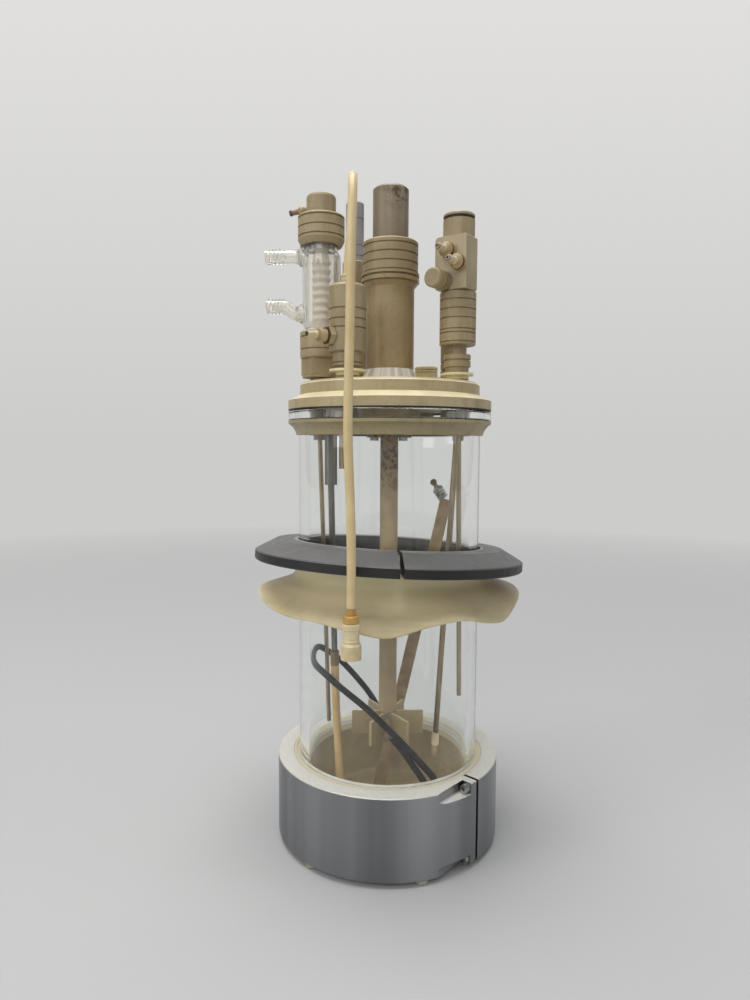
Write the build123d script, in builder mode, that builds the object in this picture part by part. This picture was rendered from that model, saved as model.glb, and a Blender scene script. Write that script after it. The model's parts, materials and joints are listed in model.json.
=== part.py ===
"""Bench bioreactor: a glass vessel in an aluminium base collar, with a PEEK head plate, ports, a reflux
condenser and a magnetically coupled stirrer.

Units are millimetres.  The origin is the centre of the base on the table, +Z is up and -Y is the front.
"""

from build123d import *
from math import cos, pi, radians, sin, tan
import os

os.makedirs("parts", exist_ok=True)

# ---------------------------------------------------------------- clearances
seat_gap = 0.15  # radial play where one still piece sits in another
rest_gap = 0.30  # play under a piece that is held elsewhere
running_gap = 0.05  # radial play of the shaft in its bearings
turning_gap = 0.60  # room left round every turning piece

# ---------------------------------------------------------------- base
foot_height = 2.5
foot_radius = 3.4
foot_count = 6
foot_inset = 4.3  # of the feet's middles from the collar's side
foot_phase = -72.0  # bearing of the first foot, degrees from +X
collar_wall = 8.6
collar_height = 43.8
collar_edge = 0.8
collar_bottom = foot_height
collar_top = collar_bottom + collar_height
slit_bearing = -41.0
slit_width = 1.8
clamp_screw_depth = 3.0  # of the clamp screws' axes from the collar's side
clamp_screw_inset = 3.0  # from each end face of the collar
clamp_screw_head_radius = 2.3
clamp_screw_head_height = 3.0
clamp_screw_radius = 1.25
clamp_screw_length = 16.0
clamp_pocket_radius = 2.8  # of the notches' inner corners, round the screws
clamp_wall = 4.4  # collar left between a notch and the slit
cup_wall = 3.3  # round the glass
cup_floor = 10.0
cup_floor_fillet = 3.0
cup_lift = 1.0  # the cup's underside above the collar's
glass_ledge_depth = 1.8
cup_lip_step = 0.7
cup_lip_width = 1.7

# ---------------------------------------------------------------- vessel
glass_radius = 50.0
glass_wall = 5.2
flange_lip = 5.6  # of the flange beyond the wall
flange_top = 236.6
flange_thickness = 5.2
gasket_thickness = 0.8
backing_ring_height = 7.7
backing_ring_foot = 1.1  # wall of the backing ring at its lower edge

# ---------------------------------------------------------------- support ring and drip skirt
ring_height = 164.0  # of the ring's top face, on the vessel's axis
ring_hole_gap = 1.0  # round the glass
ring_flat_width = 11.6
ring_width = 23.0
ring_cone_drop = 6.0
ring_thickness = 11.2
ring_tilt_side = 2.6  # degrees, right side down
ring_tilt_back = 3.7  # degrees, front up
ring_slit_width = 2.0
ring_slit_bearing = -85.0
skirt_thickness = 1.6
skirt_ring_gap = 0.5  # of the neck below the ring's underside
skirt_neck_length = 5.4  # straight, above the flare, on the vessel's axis
skirt_overhang = 0.3  # of the rim beyond the ring
skirt_pull = 0.35  # how far the rim comes in for each millimetre that it droops
# how far the rim lies below the neck, from +X round
skirt_rim_drops = (10.3, 15.4, 10.9, 15.9, 11.9, 14.4, 9.9, 12.7, 13.8, 20.3, 13.5, 20.3)
skirt_reach_shares = (0.103, 0.432, 0.724)  # of the way from the glass to the rim
skirt_fall_shares = (0.083, 0.427, 0.606)  # of the mean drop, at the same places

# ---------------------------------------------------------------- head plate
plate_rim_height = 4.7
plate_cone_height = 3.1
plate_disc_inset = 6.4  # of the raised disc from the flange's side
plate_top_rise = 6.5  # of the raised disc above the cone
plate_chamfer = 1.3
plate_boss_radius = 17.0
plate_boss_drop = 12.6
port_inset = 6.8  # of the ports' axes from the glass's inner wall
spigot_radius = 5.0
port_neck_radius = 6.0
port_neck_height = 3.7
port_disc_radius = 8.8
port_disc_thickness = 1.2
port_nut_radius = 6.1
port_nut_height = 5.9
spigot_drop = 7.9

condenser_bearing = 194.5
sample_bearing = 235.5
probe_bearing = 123.5
feed_bearing = -19.5
rear_bearing = 18.5
plug_bearing = 55.2

# ---------------------------------------------------------------- stirrer drive
housing_foot_radius = 16.0
housing_radius = 13.1
housing_cone_height = 8.0
housing_height = 51.3  # up to the foot of its flange
housing_flange_radius = 15.8
housing_flange_cone = 2.4  # height of the cone under the flange
housing_flange_groove = 0.8
housing_flange_height = 5.2
housing_bore = 8.0
coupling_ring_radius = 15.8
coupling_ring_height = 1.4
coupling_neck_radius = 14.5
coupling_neck_height = 0.8  # of the grooves under and over the ring
coupling_radius = 15.1
coupling_height = 19.3
coupling_groove_shares = (0.26, 0.55, 0.83)
can_radius = 9.7
can_wall = 1.6
can_relief = 0.2  # the can is this much thinner inside the coupling nut
can_height = 48.3
can_flange_radius = 12.5
can_flange_height = 3.0
rotor_height = 38.0
rotor_lift = 3.0
shaft_radius = 2.0
bearing_height = 8.0
tube_radius = 5.0
tube_wall = 1.8
tube_bottom = 68.3
tube_flange_radius = 12.5
tube_flange_height = 2.2
flange_screw_circle = 9.2
flange_screw_phase = 205.0
flange_screw_count = 3
flange_screw_radius = 1.3
flange_screw_head_radius = 2.4
flange_screw_head_height = 1.8
impeller_radius = 20.3
impeller_blade_height = 13.2
impeller_blade_thickness = 1.5
impeller_blade_count = 6
impeller_phase = 3.0
impeller_hub_radius = 4.2
impeller_hub_height = 10.5
impeller_hub_drop = 3.6  # hub top below the blades' top
impeller_screw_radius = 1.2

# ---------------------------------------------------------------- condenser
adapter_hex_radius = 10.8
adapter_hex_height = 9.0
adapter_disc_radius = 10.2
adapter_spigot_radius = 8.0
adapter_spigot_height = 6.0
lower_nut_radius = 11.4
lower_nut_height = 14.4
jacket_radius = 10.2
jacket_wall = 1.4
jacket_neck_radius = 8.7
jacket_body_length = 34.4  # of its straight side
jacket_shoulder = 2.8
upper_nut_gap = 3.1  # bare neck between the jacket's shoulder and the upper nut
upper_nut_radius = 12.35
upper_nut_height = 15.4
upper_nut_chamfer = 1.4
cap_radius = 7.8
cap_collar_radius = 10.0
cap_rise = 10.9  # above the upper nut
cap_collar_height = 4.8
coil_radius = 5.2
coil_waist = 4.0
coil_pitch = 4.2
coil_wall = 0.9
coil_facets = 6  # straight steps in each wave of the coil's side
hose_radius = 3.6
hose_bore = 2.6
hose_rib_radius = 4.2
hose_rib_count = 5
hose_rib_pitch = 2.0
hose_rib_foot = 0.9  # half the rib's length on the hose end
hose_rib_crest = 0.3  # half the length of its crest
hose_trumpet = 4.9
hose_reach = 29.6  # tip of each hose barb from the condenser's axis
upper_hose_rise = 0.6  # above the top of the jacket's straight side
lower_hose_rise = 9.0  # above the foot of the jacket's straight side
lower_hose_dip = 3.8
vent_rise = 4.3  # above the upper nut

# ---------------------------------------------------------------- other ports
sample_body_radius = 9.5
sample_body_height = 33.2
sample_neck_radius = 7.5
sample_neck_height = 8.6
sample_side_bearing = 215.0
sample_side_height = 7.4  # side barb above the body's lower face
probe_radius = 5.3
probe_rise = 34.0  # above its adapter
probe_groove_drops = (31.0, 25.0, 9.9)  # below its top
probe_adapter_radius = 7.3
probe_adapter_height = 68.9
feed_neck_radius = 7.1
feed_neck_foot_radius = 6.1
feed_neck_height = 9.6
feed_waist_radius = 4.4
feed_waist_height = 4.9
feed_column_radius = 9.6
feed_column_height = 27.9
feed_groove_shares = (0.054, 0.219, 0.287, 0.491, 0.66, 0.828)
feed_stud_radius = 4.0
feed_stud_height = 6.0
block_half_width = 9.2
block_face = 8.6  # of the flat face with the barbs, from the port's axis
block_back = 3.3  # depth of the flat sides behind the axis
block_height = 27.3
block_bearing = -124.5  # of the face that carries the barbs
feed_cap_radius = 8.3
feed_cap_height = 12.3
feed_cap_disc = 1.6
feed_seal_height = 1.5
feed_seal_depth = 1.6
feed_barb_spots = ((-0.5, 19.4), (5.6, 12.7))  # across the face and above the block's lower side
feed_barb_length = 13.0
block_end_rounding = 2.2
block_edge = 0.7
feed_plug_spot = (-3.8, 4.6)
feed_plug_length = 12.0
feed_plug_radius = 5.0
rear_adapter_radius = 7.3
rear_adapter_height = 39.4
port_plug_radius = 6.8
port_plug_height = 13.0

# ---------------------------------------------------------------- derived levels
flange_bottom = flange_top - flange_thickness
flange_radius = glass_radius + flange_lip
glass_inner_radius = glass_radius - glass_wall
cup_radius = glass_radius + cup_wall
collar_radius = cup_radius + collar_wall
foot_circle = collar_radius - foot_inset
clamp_screw_circle = collar_radius - clamp_screw_depth
ring_hole_radius = glass_radius + ring_hole_gap
ring_flat_radius = ring_hole_radius + ring_flat_width
ring_radius = ring_hole_radius + ring_width
plate_disc_radius = flange_radius - plate_disc_inset
port_circle = glass_inner_radius - port_inset
glass_bottom = collar_top - glass_ledge_depth
plate_bottom = flange_top + gasket_thickness
plate_cone_top = plate_bottom + plate_rim_height + plate_cone_height
plate_top = plate_cone_top + plate_top_rise
boss_bottom = plate_bottom - plate_boss_drop
spigot_bottom = plate_bottom - spigot_drop
port_disc_top = plate_top + port_neck_height + port_disc_thickness
tube_bore = tube_radius - tube_wall
housing_top = plate_top + housing_height
housing_seat = housing_top + housing_flange_height
can_top = housing_seat + can_height
can_bore = can_radius - can_wall
skirt_neck_height = ring_height - ring_thickness - skirt_ring_gap - skirt_neck_length
skirt_rim_radius = ring_radius + skirt_overhang
rotor_radius = can_bore - turning_gap
rotor_bottom = housing_seat + rotor_lift
blade_top = tube_bottom - turning_gap
hub_top = blade_top - impeller_hub_drop


def port_place(bearing):
    """The (x, y) of a port of the head plate, at a bearing in degrees from +X."""
    return (port_circle * cos(radians(bearing)), port_circle * sin(radians(bearing)))


def turned(outline, at=(0, 0), mode=Mode.ADD):
    """Revolves a closed (radius, height) outline about the vertical line through at."""
    with BuildSketch(Plane(origin=(*at, 0), x_dir=(1, 0, 0), z_dir=(0, -1, 0))) as section:
        with BuildLine():
            Polyline(*outline, close=True)
        make_face()
    revolve(section.sketch, axis=Axis((*at, 0), (0, 0, 1)), mode=mode)


def turned_along(outline, start, direction, mode=Mode.ADD):
    """Revolves a closed (distance, radius) outline about the line from start along direction."""
    along = Vector(*direction).normalized()
    side = along.cross(Vector(0, 0, 1))
    with BuildSketch(Plane(origin=start, x_dir=along, z_dir=side)) as section:
        with BuildLine():
            Polyline(*outline, close=True)
        make_face()
    revolve(section.sketch, axis=Axis(start, along), mode=mode)


def grooved(radius, bottom, top, grooves, width=0.8, depth=0.7):
    """The outer wall of a turned piece, from bottom to top, with square grooves at the given heights."""
    wall = [(radius, bottom)]
    for height in grooves:
        wall += [(radius, height - width / 2), (radius - depth, height - width / 2)]
        wall += [(radius - depth, height + width / 2), (radius, height + width / 2)]
    return wall + [(radius, top)]


def swept_tube(route, bends, radius, bore=0.0):
    """A round tube along straight runs joined by tangent arcs of the radii in bends."""
    with BuildLine() as path:
        FilletPolyline(*route, radius=bends)
    with BuildSketch(Plane(origin=path.line @ 0, z_dir=path.line % 0)) as section:
        Circle(radius)
        if bore:
            Circle(bore, mode=Mode.SUBTRACT)
    sweep(section.sketch, path=path.line)


def corner_radii(route, share=0.45):
    """The largest tangent arc at each corner that leaves its two runs room, as a share of the shorter."""
    runs = [Vector(*b) - Vector(*a) for a, b in zip(route, route[1:])]
    radii = []
    for before, after in zip(runs, runs[1:]):
        half_turn = radians(before.get_angle(after) / 2)
        radii.append(share * min(before.length, after.length) / tan(half_turn))
    return radii


def finish(part, label):
    """Names a finished piece and writes it."""
    part.label = label
    export_step(part, f"parts/{label}.step")


# ================================================================ base collar and its clamp
slit_radial = Vector(cos(radians(slit_bearing)), sin(radians(slit_bearing)), 0)
slit_tangent = Vector(sin(radians(slit_bearing)), -cos(radians(slit_bearing)), 0)
clamp_heights = (collar_bottom + clamp_screw_inset, collar_top - clamp_screw_inset)
pocket_start = slit_width / 2 + clamp_wall
notch_reach = 2 * max(clamp_screw_depth, clamp_screw_inset)  # past the collar's side and end face


def clamp_plane(height, distance):
    """A plane across a clamp screw, a distance from the slit's middle along the screw."""
    at = slit_radial * clamp_screw_circle + slit_tangent * distance + Vector(0, 0, height)
    return Plane(origin=at, x_dir=slit_radial, z_dir=slit_tangent)


with BuildPart() as base_collar:
    turned(
        [
            (cup_radius, collar_bottom),
            (collar_radius - collar_edge, collar_bottom),
            (collar_radius, collar_bottom + collar_edge),
            (collar_radius, collar_top - collar_edge / 2),
            (collar_radius - collar_edge / 2, collar_top),
            (cup_radius, collar_top),
        ]
    )
    with BuildSketch(Plane.XY.offset(collar_bottom)):
        with Locations(slit_radial * (cup_radius + collar_radius) / 2):
            Rectangle(2 * (collar_radius - cup_radius), slit_width, rotation=slit_bearing)
    extrude(amount=collar_height, mode=Mode.SUBTRACT)
    for height, outward in zip(clamp_heights, (-1, 1)):
        with BuildSketch(clamp_plane(height, pocket_start)):
            Circle(clamp_pocket_radius)
            with Locations((notch_reach / 2, 0)):
                Rectangle(notch_reach, 2 * clamp_pocket_radius)
            with Locations((0, outward * notch_reach / 2)):
                Rectangle(2 * clamp_pocket_radius, notch_reach)
            with Locations((notch_reach / 2, outward * notch_reach / 2)):
                Rectangle(notch_reach, notch_reach)
        extrude(amount=collar_radius, mode=Mode.SUBTRACT)
        with BuildSketch(clamp_plane(height, pocket_start)):
            Circle(clamp_screw_radius + seat_gap)
        extrude(amount=-clamp_screw_length, mode=Mode.SUBTRACT)
finish(base_collar.part, "base_collar")

with BuildPart() as base_clamp_screws:
    for height in clamp_heights:
        with BuildSketch(clamp_plane(height, pocket_start)):
            Circle(clamp_screw_head_radius)
        extrude(amount=clamp_screw_head_height)
        with BuildSketch(clamp_plane(height, pocket_start)):
            Circle(clamp_screw_radius)
        extrude(amount=-clamp_screw_length + rest_gap)
        with BuildSketch(clamp_plane(height, pocket_start + clamp_screw_head_height)):
            RegularPolygon(clamp_screw_radius, 6)
        extrude(amount=-clamp_screw_head_height / 2, mode=Mode.SUBTRACT)
finish(base_clamp_screws.part, "base_clamp_screws")

with BuildPart() as base_feet:
    with BuildSketch(Plane.XY):
        with PolarLocations(foot_circle, foot_count, foot_phase):
            Circle(foot_radius)
    extrude(amount=foot_height)
    chamfer(base_feet.faces().sort_by(Axis.Z)[:foot_count].edges(), foot_height / 5)
finish(base_feet.part, "base_feet")

lip_middle = glass_radius + seat_gap + cup_lip_width
with BuildPart() as vessel_base:
    turned(
        [
            (0, collar_bottom + cup_lift),
            (cup_radius - seat_gap, collar_bottom + cup_lift),
            (cup_radius - seat_gap, collar_top),
            (lip_middle, collar_top),
            (lip_middle, collar_top - cup_lip_step),
            (glass_radius + seat_gap, collar_top - cup_lip_step),
            (glass_radius + seat_gap, glass_bottom),
            (glass_inner_radius, glass_bottom),
            (glass_inner_radius, cup_floor),
            (0, cup_floor),
        ]
    )
    cup_edges = vessel_base.edges().filter_by(GeomType.CIRCLE)
    fillet(cup_edges.filter_by_position(Axis.Z, cup_floor - 0.1, cup_floor + 0.1), cup_floor_fillet)
finish(vessel_base.part, "vessel_base")

# ================================================================ glass vessel and what is on it
with BuildPart() as glass_vessel:
    turned(
        [
            (glass_inner_radius, glass_bottom),
            (glass_radius, glass_bottom),
            (glass_radius, flange_bottom),
            (flange_radius, flange_bottom),
            (flange_radius, flange_top),
            (glass_inner_radius, flange_top),
        ]
    )
    flange_rims = glass_vessel.edges().filter_by(GeomType.CIRCLE).sort_by(SortBy.RADIUS)[-2:]
    fillet(flange_rims, 0.8)
finish(glass_vessel.part, "glass_vessel")

backing_bore = glass_radius + seat_gap
backing_bottom = flange_bottom - backing_ring_height
backing_shoulder = flange_bottom - backing_ring_height / 5
with BuildPart() as flange_backing_ring:
    with BuildSketch(Plane.XZ):
        with BuildLine():
            Polyline((backing_bore, flange_bottom), (backing_bore, backing_bottom))
            Line((backing_bore, backing_bottom), (backing_bore + backing_ring_foot, backing_bottom))
            RadiusArc(
                (backing_bore + backing_ring_foot, backing_bottom), (flange_radius, backing_shoulder), 9
            )
            Polyline(
                (flange_radius, backing_shoulder), (flange_radius, flange_bottom), (backing_bore, flange_bottom)
            )
        make_face()
    revolve(axis=Axis.Z)
finish(flange_backing_ring.part, "flange_backing_ring")

with BuildPart() as flange_gasket:
    gasket_bore = glass_inner_radius + 3 * seat_gap
    turned(
        [
            (gasket_bore, flange_top),
            (flange_radius - seat_gap, flange_top),
            (flange_radius - seat_gap, plate_bottom),
            (gasket_bore, plate_bottom),
        ]
    )
finish(flange_gasket.part, "flange_gasket")

# ================================================================ tilted support ring
ring_up = Vector(tan(radians(ring_tilt_side)), tan(radians(ring_tilt_back)), 1).normalized()
ring_middle = Vector(0, 0, ring_height - ring_thickness / 2)
ring_plane = Plane(
    origin=ring_middle + ring_up * ring_thickness / 2,
    x_dir=(1, 0, -tan(radians(ring_tilt_side))),
    z_dir=ring_up,
)
ring_section = Plane(origin=ring_plane.origin, x_dir=ring_plane.x_dir, z_dir=-ring_plane.y_dir)
ring_edge = 0.6
with BuildPart() as support_ring:
    with BuildSketch(ring_section):
        with BuildLine():
            Polyline(
                (ring_hole_radius, 0),
                (ring_flat_radius, 0),
                (ring_radius - ring_edge, -ring_cone_drop),
                (ring_radius, -ring_cone_drop - ring_edge),
                (ring_radius, -ring_thickness + ring_edge),
                (ring_radius - ring_edge, -ring_thickness),
                (ring_hole_radius, -ring_thickness),
                close=True,
            )
        make_face()
    revolve(axis=Axis(ring_plane.origin, ring_plane.z_dir))
    ring_slit_way = Vector(cos(radians(ring_slit_bearing)), sin(radians(ring_slit_bearing)), 0)
    with BuildSketch(Plane(origin=ring_slit_way * (ring_hole_radius + ring_radius) / 2, x_dir=ring_slit_way)):
        Rectangle(2 * (ring_radius - ring_hole_radius), ring_slit_width)
    extrude(amount=2 * ring_height, mode=Mode.SUBTRACT)
finish(support_ring.part, "support_ring")

# ================================================================ drip skirt, a thin drooping collar
skirt_neck_radius = glass_radius + seat_gap
skirt_reach = skirt_rim_radius - glass_radius
skirt_sections = 2 * len(skirt_rim_drops)
skirt_mean_drop = sum(skirt_rim_drops) / len(skirt_rim_drops)


def skirt_drop(number):
    """The rim's drop at one section: a stated one, or the smooth mean halfway between two of them."""
    count = len(skirt_rim_drops)
    if number % 2 == 0:
        return skirt_rim_drops[number // 2 % count]
    far_before, before, after, far_after = [skirt_rim_drops[(number // 2 + n) % count] for n in (-1, 0, 1, 2)]
    return (9 * (before + after) - far_before - far_after) / 16


def skirt_neck_top(bearing):
    """The neck's upper end at one bearing, along the tilted ring."""
    lean = tan(radians(ring_tilt_side)) * cos(bearing) + tan(radians(ring_tilt_back)) * sin(bearing)
    return skirt_neck_height + skirt_neck_length - skirt_neck_radius * lean


def skirt_outer(drop):
    """The skirt's upper face at one bearing, as (radius, height) points from the neck to the rim."""
    rim = (skirt_rim_radius - skirt_pull * (drop - min(skirt_rim_drops)), skirt_neck_height - drop)
    points = [(skirt_neck_radius + skirt_thickness, skirt_neck_height)]
    for reach, fall in zip(skirt_reach_shares, skirt_fall_shares):
        down = fall * skirt_mean_drop + reach**1.5 * (drop - skirt_mean_drop)
        points.append((glass_radius + reach * skirt_reach, skirt_neck_height - down))
    return points + [rim]


with BuildPart() as drip_skirt:
    for half in range(2):
        for step in range(skirt_sections // 2 + 1):
            number = half * skirt_sections // 2 + step
            bearing = radians(number * 360 / skirt_sections)
            outward = (cos(bearing), sin(bearing), 0)
            across = Plane(origin=(0, 0, 0), x_dir=outward, z_dir=(sin(bearing), -cos(bearing), 0))
            upper = skirt_outer(skirt_drop(number))
            top = skirt_neck_top(bearing)
            lower = [(out - skirt_thickness / 3, up - skirt_thickness) for out, up in upper[1:]]
            lower = [(skirt_neck_radius, skirt_neck_height - skirt_thickness)] + lower
            with BuildSketch(across):
                with BuildLine():
                    Line((skirt_neck_radius, top), (upper[0][0], top))
                    Line((upper[0][0], top), upper[0])
                    Spline(*upper)
                    Line(upper[-1], lower[-1])
                    Spline(*reversed(lower))
                    Line(lower[0], (skirt_neck_radius, top))
                make_face()
        loft()
finish(drip_skirt.part, "drip_skirt")

# ================================================================ head plate
condenser_at = port_place(condenser_bearing)
sample_at = port_place(sample_bearing)
probe_at = port_place(probe_bearing)
feed_at = port_place(feed_bearing)
rear_at = port_place(rear_bearing)
plug_at = port_place(plug_bearing)
ports = (condenser_at, sample_at, probe_at, feed_at, rear_at, plug_at)

screw_bearings = [
    radians(flange_screw_phase + 360 * n / flange_screw_count) for n in range(flange_screw_count)
]
screw_places = [(flange_screw_circle * cos(b), flange_screw_circle * sin(b)) for b in screw_bearings]
screw_grip = 6.0

harvest_at = (-30.0, -20.0)
harvest_sleeve_radius = 3.1
short_pipe_at = (-24.6, -20.2)
short_pipe_radius = 1.3
short_pipe_drop = 23.5  # below the spigots
right_rod_at = (port_circle + 0.2, -1.8)
gland_radius = 3.2
blind_depth = 6.0

with BuildPart() as head_plate:
    turned(
        [
            (tube_bore, boss_bottom),
            (plate_boss_radius, boss_bottom),
            (plate_boss_radius, plate_bottom),
            (flange_radius, plate_bottom),
            (flange_radius, plate_bottom + plate_rim_height),
            (plate_disc_radius, plate_cone_top),
            (plate_disc_radius, plate_top - plate_chamfer),
            (plate_disc_radius - plate_chamfer, plate_top),
            (tube_bore, plate_top),
        ]
    )
    with BuildSketch(Plane.XY.offset(plate_bottom)):
        with Locations(*ports):
            Circle(spigot_radius + seat_gap)
    extrude(amount=plate_top, mode=Mode.SUBTRACT)
    with BuildSketch(Plane.XY.offset(plate_bottom)):
        with Locations(harvest_at):
            Circle(harvest_sleeve_radius + seat_gap)
        with Locations(short_pipe_at):
            Circle(short_pipe_radius + seat_gap)
        with Locations(right_rod_at):
            Circle(gland_radius + seat_gap)
    extrude(amount=blind_depth + rest_gap, mode=Mode.SUBTRACT)
    with BuildSketch(Plane.XY.offset(boss_bottom)):
        with Locations(*screw_places):
            Circle(flange_screw_radius + seat_gap)
    extrude(amount=screw_grip + rest_gap, mode=Mode.SUBTRACT)
finish(head_plate.part, "head_plate")

with BuildPart() as port_nuts:
    for place in ports:
        turned(
            [
                (spigot_radius + seat_gap / 2, plate_bottom - port_nut_height),
                (port_nut_radius - 0.5, plate_bottom - port_nut_height),
                (port_nut_radius, plate_bottom - port_nut_height + 0.5),
                (port_nut_radius, plate_bottom),
                (spigot_radius + seat_gap / 2, plate_bottom),
            ],
            place,
        )
finish(port_nuts.part, "port_nuts")

# ================================================================ stirrer drive
bearing_seat = housing_top - bearing_height
bearing_bore = shaft_radius + running_gap
ledge_radius = housing_bore * 0.75
with BuildPart() as stirrer_housing:
    turned(
        [
            (ledge_radius, plate_top),
            (housing_foot_radius, plate_top),
            (housing_foot_radius, plate_top + 1.2),
            (housing_radius, plate_top + housing_cone_height),
            (housing_radius, housing_top),
            (coupling_neck_radius + 0.4, housing_top + housing_flange_cone),
            (coupling_neck_radius, housing_top + housing_flange_cone),
            (coupling_neck_radius, housing_top + housing_flange_cone + housing_flange_groove),
            (housing_flange_radius, housing_top + housing_flange_cone + housing_flange_groove),
            (housing_flange_radius, housing_seat - 0.3),
            (housing_flange_radius - 0.3, housing_seat),
            (housing_bore, housing_seat),
            (housing_bore, bearing_seat),
            (ledge_radius, bearing_seat),
        ]
    )
finish(stirrer_housing.part, "stirrer_housing")

with BuildPart() as upper_bearing:
    turned(
        [
            (bearing_bore, bearing_seat),
            (housing_bore - seat_gap / 3, bearing_seat),
            (housing_bore - seat_gap / 3, housing_top),
            (bearing_bore, housing_top),
        ]
    )
finish(upper_bearing.part, "upper_bearing")

can_bottom = housing_seat
can_flange_top = can_bottom + can_flange_height
coupling_bottom = housing_seat + rest_gap
coupling_ring_bottom = coupling_bottom + coupling_neck_height
coupling_ring_top = coupling_ring_bottom + coupling_ring_height
coupling_middle = coupling_ring_top + coupling_neck_height
coupling_top = coupling_bottom + coupling_height
can_relief_top = coupling_top + rest_gap
with BuildPart() as drive_can:
    turned(
        [
            (can_bore, can_bottom),
            (can_flange_radius, can_bottom),
            (can_flange_radius, can_flange_top),
            (can_radius - can_relief, can_flange_top),
            (can_radius - can_relief, can_relief_top),
            (can_radius, can_relief_top),
            (can_radius, can_top - 1.2),
            (can_radius - 1.2, can_top),
            (0, can_top),
            (0, can_top - can_wall),
            (can_bore, can_top - can_wall),
        ]
    )
finish(drive_can.part, "drive_can")

coupling_grooves = [
    coupling_middle + share * (coupling_top - coupling_middle) for share in coupling_groove_shares
]
coupling_wall = grooved(coupling_radius, coupling_middle, coupling_top - 0.8, coupling_grooves)
with BuildPart() as coupling_nut:
    turned(
        [
            (can_flange_radius + seat_gap, coupling_bottom),
            (coupling_neck_radius, coupling_bottom),
            (coupling_neck_radius, coupling_ring_bottom),
            (coupling_ring_radius, coupling_ring_bottom),
            (coupling_ring_radius, coupling_ring_top),
            (coupling_neck_radius, coupling_ring_top),
            (coupling_neck_radius, coupling_middle),
        ]
        + coupling_wall
        + [
            (coupling_radius - 0.8, coupling_top),
            (can_radius + seat_gap, coupling_top),
            (can_radius + seat_gap, can_flange_top + rest_gap / 2),
            (can_flange_radius + seat_gap, can_flange_top + rest_gap / 2),
        ]
    )
finish(coupling_nut.part, "coupling_nut")

with BuildPart() as magnet_rotor:
    turned(
        [
            (shaft_radius, rotor_bottom),
            (rotor_radius - 0.8, rotor_bottom),
            (rotor_radius, rotor_bottom + 0.8),
            (rotor_radius, rotor_bottom + rotor_height - 0.8),
            (rotor_radius - 0.8, rotor_bottom + rotor_height),
            (shaft_radius, rotor_bottom + rotor_height),
        ]
    )
finish(magnet_rotor.part, "magnet_rotor")

hub_bottom = hub_top - impeller_hub_height
screw_depth = 5.0
with BuildPart() as stirrer_shaft:
    with BuildSketch(Plane.XY.offset(hub_bottom + 1.0)):
        Circle(shaft_radius)
    extrude(amount=rotor_bottom + rotor_height - hub_bottom)
    with BuildSketch(Plane.XY.offset(hub_bottom + 1.0)):
        Circle(impeller_screw_radius)
    extrude(amount=screw_depth + rest_gap, mode=Mode.SUBTRACT)
finish(stirrer_shaft.part, "stirrer_shaft")

with BuildPart() as impeller_screw:
    with BuildSketch(Plane.XY.offset(hub_bottom - 1.6)):
        Circle(impeller_hub_radius * 0.8)
    extrude(amount=1.6)
    with BuildSketch(Plane.XY.offset(hub_bottom)):
        Circle(impeller_screw_radius)
    extrude(amount=1.0 + screw_depth)
    with BuildSketch(Plane.XY.offset(hub_bottom - 1.6)):
        RegularPolygon(impeller_screw_radius, 6)
    extrude(amount=1.0, mode=Mode.SUBTRACT)
finish(impeller_screw.part, "impeller_screw")

with BuildPart() as impeller:
    turned(
        [
            (0, hub_bottom),
            (impeller_hub_radius, hub_bottom),
            (impeller_hub_radius, hub_top),
            (0, hub_top),
        ]
    )
    blade_reach = impeller_radius - impeller_hub_radius / 2
    with BuildSketch(Plane.XY.offset(blade_top - impeller_blade_height)):
        with PolarLocations(impeller_hub_radius / 2 + blade_reach / 2, impeller_blade_count, impeller_phase):
            Rectangle(blade_reach, impeller_blade_thickness)
    extrude(amount=impeller_blade_height)
    with BuildSketch(Plane.XY.offset(hub_bottom)):
        Circle(impeller_screw_radius)
    extrude(amount=impeller_hub_height, mode=Mode.SUBTRACT)
    with BuildSketch(Plane.XY.offset(hub_bottom + 1.0)):
        Circle(shaft_radius)
    extrude(amount=tube_bottom, mode=Mode.SUBTRACT)
    with BuildSketch(Plane.XY.offset(hub_top)):
        Circle(impeller_hub_radius)
    extrude(amount=tube_bottom, mode=Mode.SUBTRACT)
finish(impeller.part, "impeller")

tube_flange_bottom = boss_bottom - tube_flange_height
with BuildPart() as stirrer_tube:
    turned(
        [
            (tube_bore, tube_bottom),
            (tube_radius, tube_bottom),
            (tube_radius, tube_flange_bottom),
            (tube_flange_radius, tube_flange_bottom),
            (tube_flange_radius, boss_bottom),
            (tube_bore, boss_bottom),
        ]
    )
    with BuildSketch(Plane.XY.offset(tube_flange_bottom)):
        with Locations(*screw_places):
            Circle(flange_screw_radius + seat_gap)
    extrude(amount=tube_flange_height, mode=Mode.SUBTRACT)
finish(stirrer_tube.part, "stirrer_tube")

with BuildPart() as tube_flange_screws:
    for place in screw_places:
        turned(
            [
                (0, tube_flange_bottom - flange_screw_head_height),
                (flange_screw_head_radius, tube_flange_bottom - flange_screw_head_height),
                (flange_screw_head_radius, tube_flange_bottom),
                (flange_screw_radius, tube_flange_bottom),
                (flange_screw_radius, boss_bottom + screw_grip),
                (0, boss_bottom + screw_grip),
            ],
            place,
        )
    with BuildSketch(Plane.XY.offset(tube_flange_bottom - flange_screw_head_height)):
        with Locations(*screw_places):
            RegularPolygon(flange_screw_radius, 6)
    extrude(amount=flange_screw_head_height / 2, mode=Mode.SUBTRACT)
finish(tube_flange_screws.part, "tube_flange_screws")

with BuildPart() as lower_bearing:
    turned(
        [
            (bearing_bore, tube_bottom),
            (tube_bore - seat_gap / 3, tube_bottom),
            (tube_bore - seat_gap / 3, tube_bottom + bearing_height),
            (bearing_bore, tube_bottom + bearing_height),
        ]
    )
finish(lower_bearing.part, "lower_bearing")

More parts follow.
